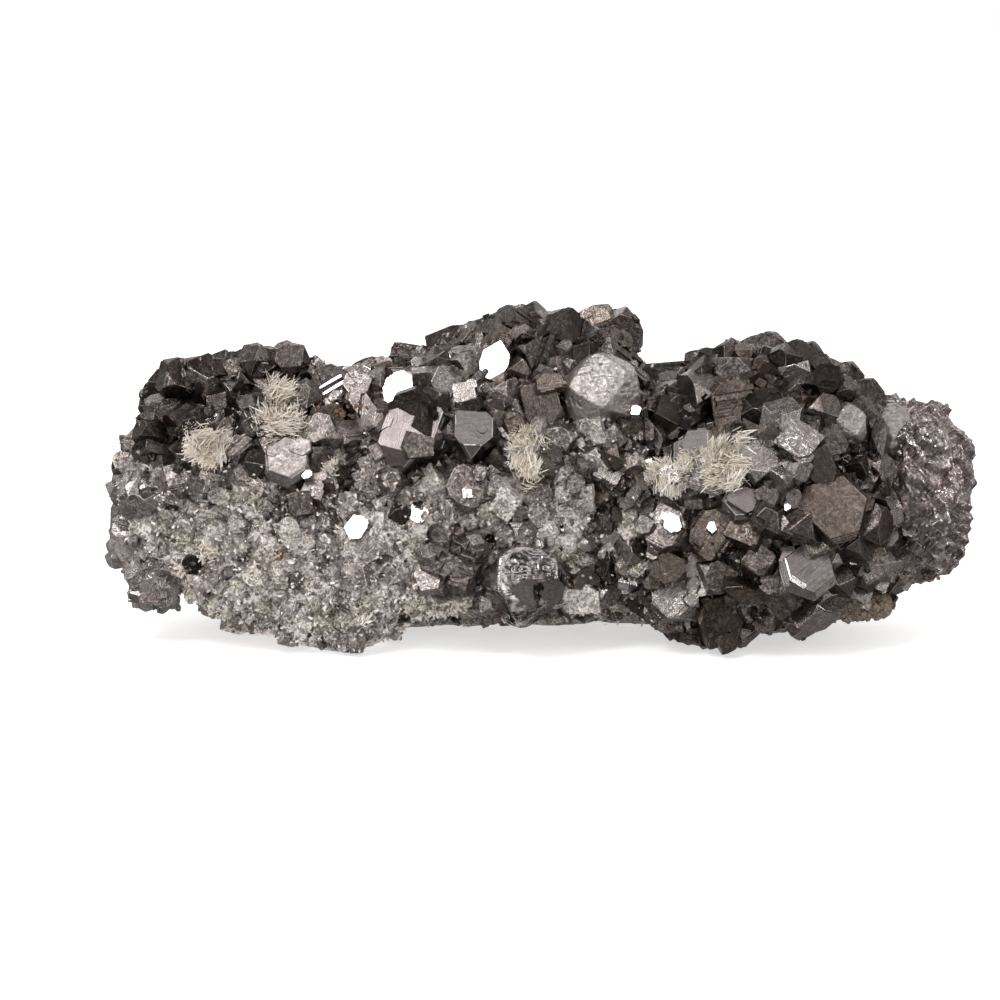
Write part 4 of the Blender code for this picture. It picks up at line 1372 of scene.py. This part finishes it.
def broken_mass():
    """Broken galena: its solid remeshed evenly, folded into ridges that run steeply down it, stepped a
    little across its cleavage, and roughened finely."""
    mesh, points, normals = even_mesh("broken_galena_mass", MASS_VOXEL)
    lean = 0.5 * soft_noise(points, 22.0, 20)
    run = unit(np.array([0.28, 0.15, 0.95]))
    bend = 4.0 * np.stack([soft_noise(points, 13.0, 23 + axis) for axis in range(3)], 1)
    bent = points + bend
    rise = 1.5 * ridged(bent, run, 7.0, 2.5, 31) + 1.0 * ridged(bent, run, 3.2, 3.0, 32)
    rise += 0.45 * ridged(bent, run, 1.5, 4.0, 33) + lean
    points = points + normals * (0.85 * rise - 0.7)[:, None]
    first = unit(np.array([0.62, -0.35, 0.70]))
    bent = points + bend
    for axis, pitch, share in ((first, 3.7, 0.5), (np.cross(first, run), 2.9, 0.35)):
        bent = stepped(bent, axis, pitch, share)
    points = bent - bend
    ragged = 0.3 * soft_noise(points, 1.2, 27) + 0.15 * soft_noise(points, 0.6, 28)
    points = points + normals * ragged[:, None]
    points[:, 2] = np.maximum(points[:, 2], 1.0)
    # Random patches of tone, and a lighter tone along the crests of the fine ridges: a painted highlight.
    tones = 0.65 + 0.4 * soft_noise(points, 5.0, 29) + 0.3 * ridged(bent, run, 1.5, 4.0, 33)
    add_mesh("broken_galena", mesh, points, tones, GALENAS["cleaved"], "broken_galena_mass")


def brown_band():
    """The brown carbonate band: its solid roughened and split into level beds, with rhomb-shaped grains
    packed over it."""
    rng = np.random.default_rng(61)
    mesh, points, normals = even_mesh("brown_band", BAND_VOXEL)
    rise = 1.3 * soft_noise(points, 4.0, 31) + 0.7 * soft_noise(points, 1.6, 32)
    rise += 0.3 * soft_noise(points, 0.8, 34)
    points = points + normals * rise[:, None]
    points = stepped(points, unit(np.array([0.15, -0.3, 0.94])), 1.5, 0.5)
    points[:, 2] = np.maximum(points[:, 2], 0.5)
    tones = 0.4 + 0.45 * soft_noise(points, 2.4, 33)
    add_mesh("brown_band_rock", mesh, points, tones, SIDERITE, "brown_band")
    points, triangles = mesh_arrays(NODES["brown_band"])
    places, outward = scattered(points, triangles, BAND_GRAINS, rng)
    shape = templates(rng, 1)[0]
    sizes = rng.uniform(0.5, 2.0, (len(places), 3))
    rotations = turned_to(rng, outward, 0.7)
    grains = repeated(shape, rotations, sizes, places, rng.beta(1.2, 1.8, len(places)))
    add_piece("brown_band_grains", grains, SIDERITE)


# Patches of rust and of brown carbonate on the display side: across, up and spread, in millimetres.
RUST_SPOTS = (
    (-55, 68, 2.0), (-118, 27, 1.6), (-71, 33, 1.8), (-109, 14, 1.8), (-93, 46, 1.2),
    (-73, 26, 1.0), (70, 13, 1.0), (97, 18, 1.0), (106, 17, 0.8),
)
BROWN_SPOTS = ((90, 15.5, 2.6), (101, 17.0, 2.8), (110, 16.5, 2.0))


def rust_spots(tree):
    """Patches of small rust-brown grains on the display side, and the grains of the brown band that show
    between the crystals above it."""
    rng = np.random.default_rng(67)
    shape = templates(rng, 1)[0]
    kinds = ("rust", RUST, RUST_GRAINS, RUST_SPOTS), ("brown", SIDERITE, BROWN_GRAINS, BROWN_SPOTS)
    for name, material, count, rows in kinds:
        shapes = []
        for across, up, spread in rows:
            spots = rng.normal((across, up), (1.5 * spread, spread), (count, 2))
            hits = [seen_point(tree, *spot) for spot in spots]
            hits = np.array([hit for hit in hits if hit is not None])
            if len(hits):
                ahead = np.tile(TO_VIEWER, (len(hits), 1))
                sizes = rng.uniform(0.35, 1.2, (len(hits), 3))
                shades = rng.uniform(0.2, 1, len(hits))
                shapes.append(repeated(shape, turned_to(rng, ahead, 0.8), sizes, hits, shades))
        add_piece(name + "_spots", join(shapes), material)


def druse_places(rng, places, outward, middle, solids):
    """Where the druse grows, and how much of it: on the rock, on the coated crystals between the named
    ones, and round the feet of the galena pieces, thinner with distance from the rock."""
    grown = tree_of([mesh_arrays(piece) for piece in middle])
    spots, aim = scattered(*mesh_arrays(NODES["host_rock"]), COATED_PLACES, rng)
    spots, away, hit = seated(grown, spots, aim, OPEN_DISTANCE)
    hit &= (spots[:, 2] > 1.5) & (rng.random(len(spots)) < 0.95 * druse_share(spots))
    spots, away = spots[hit], away[hit]

    rock = tree_of([solids["host_rock"]])
    feet, aside = scattered(*joined(solids[node] for node in GALENA_NODES), FOOT_PLACES, rng)
    depth = np.array([rock.find_nearest(Vector(foot))[3] for foot in feet])
    limit = (1.2 + 3.2 * druse_share(feet)) * (1 + 0.9 * soft_noise(feet, 5.0, 12))
    close = depth < limit * rng.random(len(feet)) ** 0.5
    feet, aside = feet[close], aside[close]
    near = np.concatenate([np.zeros(len(places)), np.full(len(spots), 0.8), np.full(len(feet), 0.7)])
    return np.vstack([places, spots, feet]), np.vstack([outward, away, aside]), near


def build():
    """Everything of the specimen. Crystals grow on the rock where it is open to the air: its scattered
    places go in turn to the middle-sized crystals, the small ones and the druse."""
    rng = np.random.default_rng(5)
    solids = {node: mesh_arrays(thing) for node, thing in NODES.items()}
    solids["host_rock"] = mesh_arrays(rock_skin())
    every = tree_of(solids.values())
    galenas = tree_of(solids[node] for node in GALENA_NODES)

    places, outward = scattered(*solids["host_rock"], ROCK_PLACES, rng)
    open_air = open_to_air(galenas, places, outward, OPEN_DISTANCE)
    places, outward = places[open_air], outward[open_air]
    found = lit_places(every)
    named_crystals()
    clusters()
    lit = np.array([place for place, _ in found])
    lit_sizes = np.array([row[2] + row[3] for _, row in found]) * 0.6
    middle = filler_crystals(places[:MIDDLE_PLACES], outward[:MIDDLE_PLACES], lit, lit_sizes)
    ends = MIDDLE_PLACES, MIDDLE_PLACES + SMALL_PLACES
    small_crystals(places[slice(*ends)], outward[slice(*ends)])
    druse(*druse_places(rng, places[ends[1]:], outward[ends[1]:], middle, solids))
    lit_faces(found)
    tufts(every)
    broken_mass()
    brown_band()
    rust_spots(every)


# Floor, lights and camera


def pale_floor():
    """A wide pale floor that glows a little, so that it runs into the white behind it."""
    bpy.ops.mesh.primitive_plane_add(size=60.0, location=(0, 0, 0))
    floor = bpy.context.object
    floor.name = "floor"
    material, sockets, _ = new_material("pale_floor", 0.9, 0.0)
    sockets["Base Color"].default_value = (0.86, 0.86, 0.86, 1)
    sockets["Specular IOR Level"].default_value = 0.0
    sockets["Emission Color"].default_value = (1, 1, 1, 1)
    sockets["Emission Strength"].default_value = 0.55
    floor.data.materials.append(material)
    floor.visible_glossy = False


# Panels of light: direction from the specimen's middle, distance, width and height in metres, watts and
# colour.
PANELS = {
    "key": ((-0.344, -0.512, 0.786), 0.9, 0.30, 0.30, 2.9, (1, 0.97, 0.94)),
    "overhead": ((0.12, -0.40, 0.91), 0.95, 0.46, 0.40, 0.54, (1, 0.96, 0.95)),
    "right_strip": ((0.88, -0.30, 0.36), 0.9, 0.16, 0.5, 1.0, (1, 0.97, 0.95)),
    "left_strip": ((-0.90, -0.25, 0.35), 0.9, 0.14, 0.5, 0.8, (0.98, 0.98, 1)),
    "front_low": ((0.15, -0.95, 0.22), 1.1, 0.5, 0.10, 0.5, (1, 0.98, 0.96)),
    "behind": ((0.1, 0.93, 0.36), 1.0, 0.6, 0.3, 0.7, (1, 1, 1)),
}


def lights():
    """Each panel, turned to face the specimen's middle."""
    centre = np.array([(a + b) / 2 for a, b in zip(*CAD_BOX)])
    for name, (direction, distance, width, height, power, colour) in PANELS.items():
        data = bpy.data.lights.new(name, "AREA")
        data.shape = "RECTANGLE"
        data.size, data.size_y = width, height
        data.energy = power
        data.color = colour
        light = bpy.data.objects.new(name, data)
        aim = unit(np.array(direction))
        light.location = centre + aim * distance
        light.rotation_euler = Vector(aim).to_track_quat("Z", "Y").to_euler()
        bpy.context.scene.collection.objects.link(light)


def room():
    """The world: white to the camera, an even soft light to dull surfaces, and to mirror-like ones a dim
    room with bright patches, lighter towards the ceiling and dark overhead."""
    world = bpy.data.worlds.new("studio")
    bpy.context.scene.world = world
    world.use_nodes = True
    w = Wires(world.node_tree)
    path = w.add("LightPath").outputs
    toward = w.add("TexCoord").outputs["Generated"]
    height = w.add("SeparateXYZ", Vector=toward).outputs[2]
    sky = w.between(height, -0.3, 0.9, 0.2, 0.62)
    patches = w.between(w.noise(toward, 4.2, 2.0, 0.5), 0.47, 0.58, 0.04, 3.4)
    overhead = w.between(height, 0.7, 0.92, 1.0, 0.10)
    mirrored = w.math("MULTIPLY", w.math("MULTIPLY", sky, patches), overhead)
    glossy = w.math("MULTIPLY", path["Is Glossy Ray"], mirrored)
    diffuse = w.math("MULTIPLY", w.math("SUBTRACT", 1.0, path["Is Glossy Ray"]), 0.8)
    strength = w.math("MAXIMUM", w.math("ADD", glossy, diffuse), path["Is Camera Ray"])
    background = world.node_tree.nodes["Background"].inputs
    w.feed(background["Color"], w.blend(path["Is Camera Ray"], (1.0, 0.962, 0.925, 1), (1, 1, 1, 1)))
    w.feed(background["Strength"], strength)


def camera():
    """The camera, at the viewing point."""
    data = bpy.data.cameras.new("camera")
    data.lens = 95
    data.sensor_width = 36
    thing = bpy.data.objects.new("camera", data)
    thing.location = (VIEW_AIM + TO_VIEWER * VIEW_DISTANCE) * MM
    thing.rotation_euler = Vector(TO_VIEWER).to_track_quat("Z", "Y").to_euler()
    scene = bpy.context.scene
    scene.collection.objects.link(thing)
    scene.camera = thing
    scene.view_settings.view_transform = "Standard"


build()
pale_floor()
lights()
room()
camera()
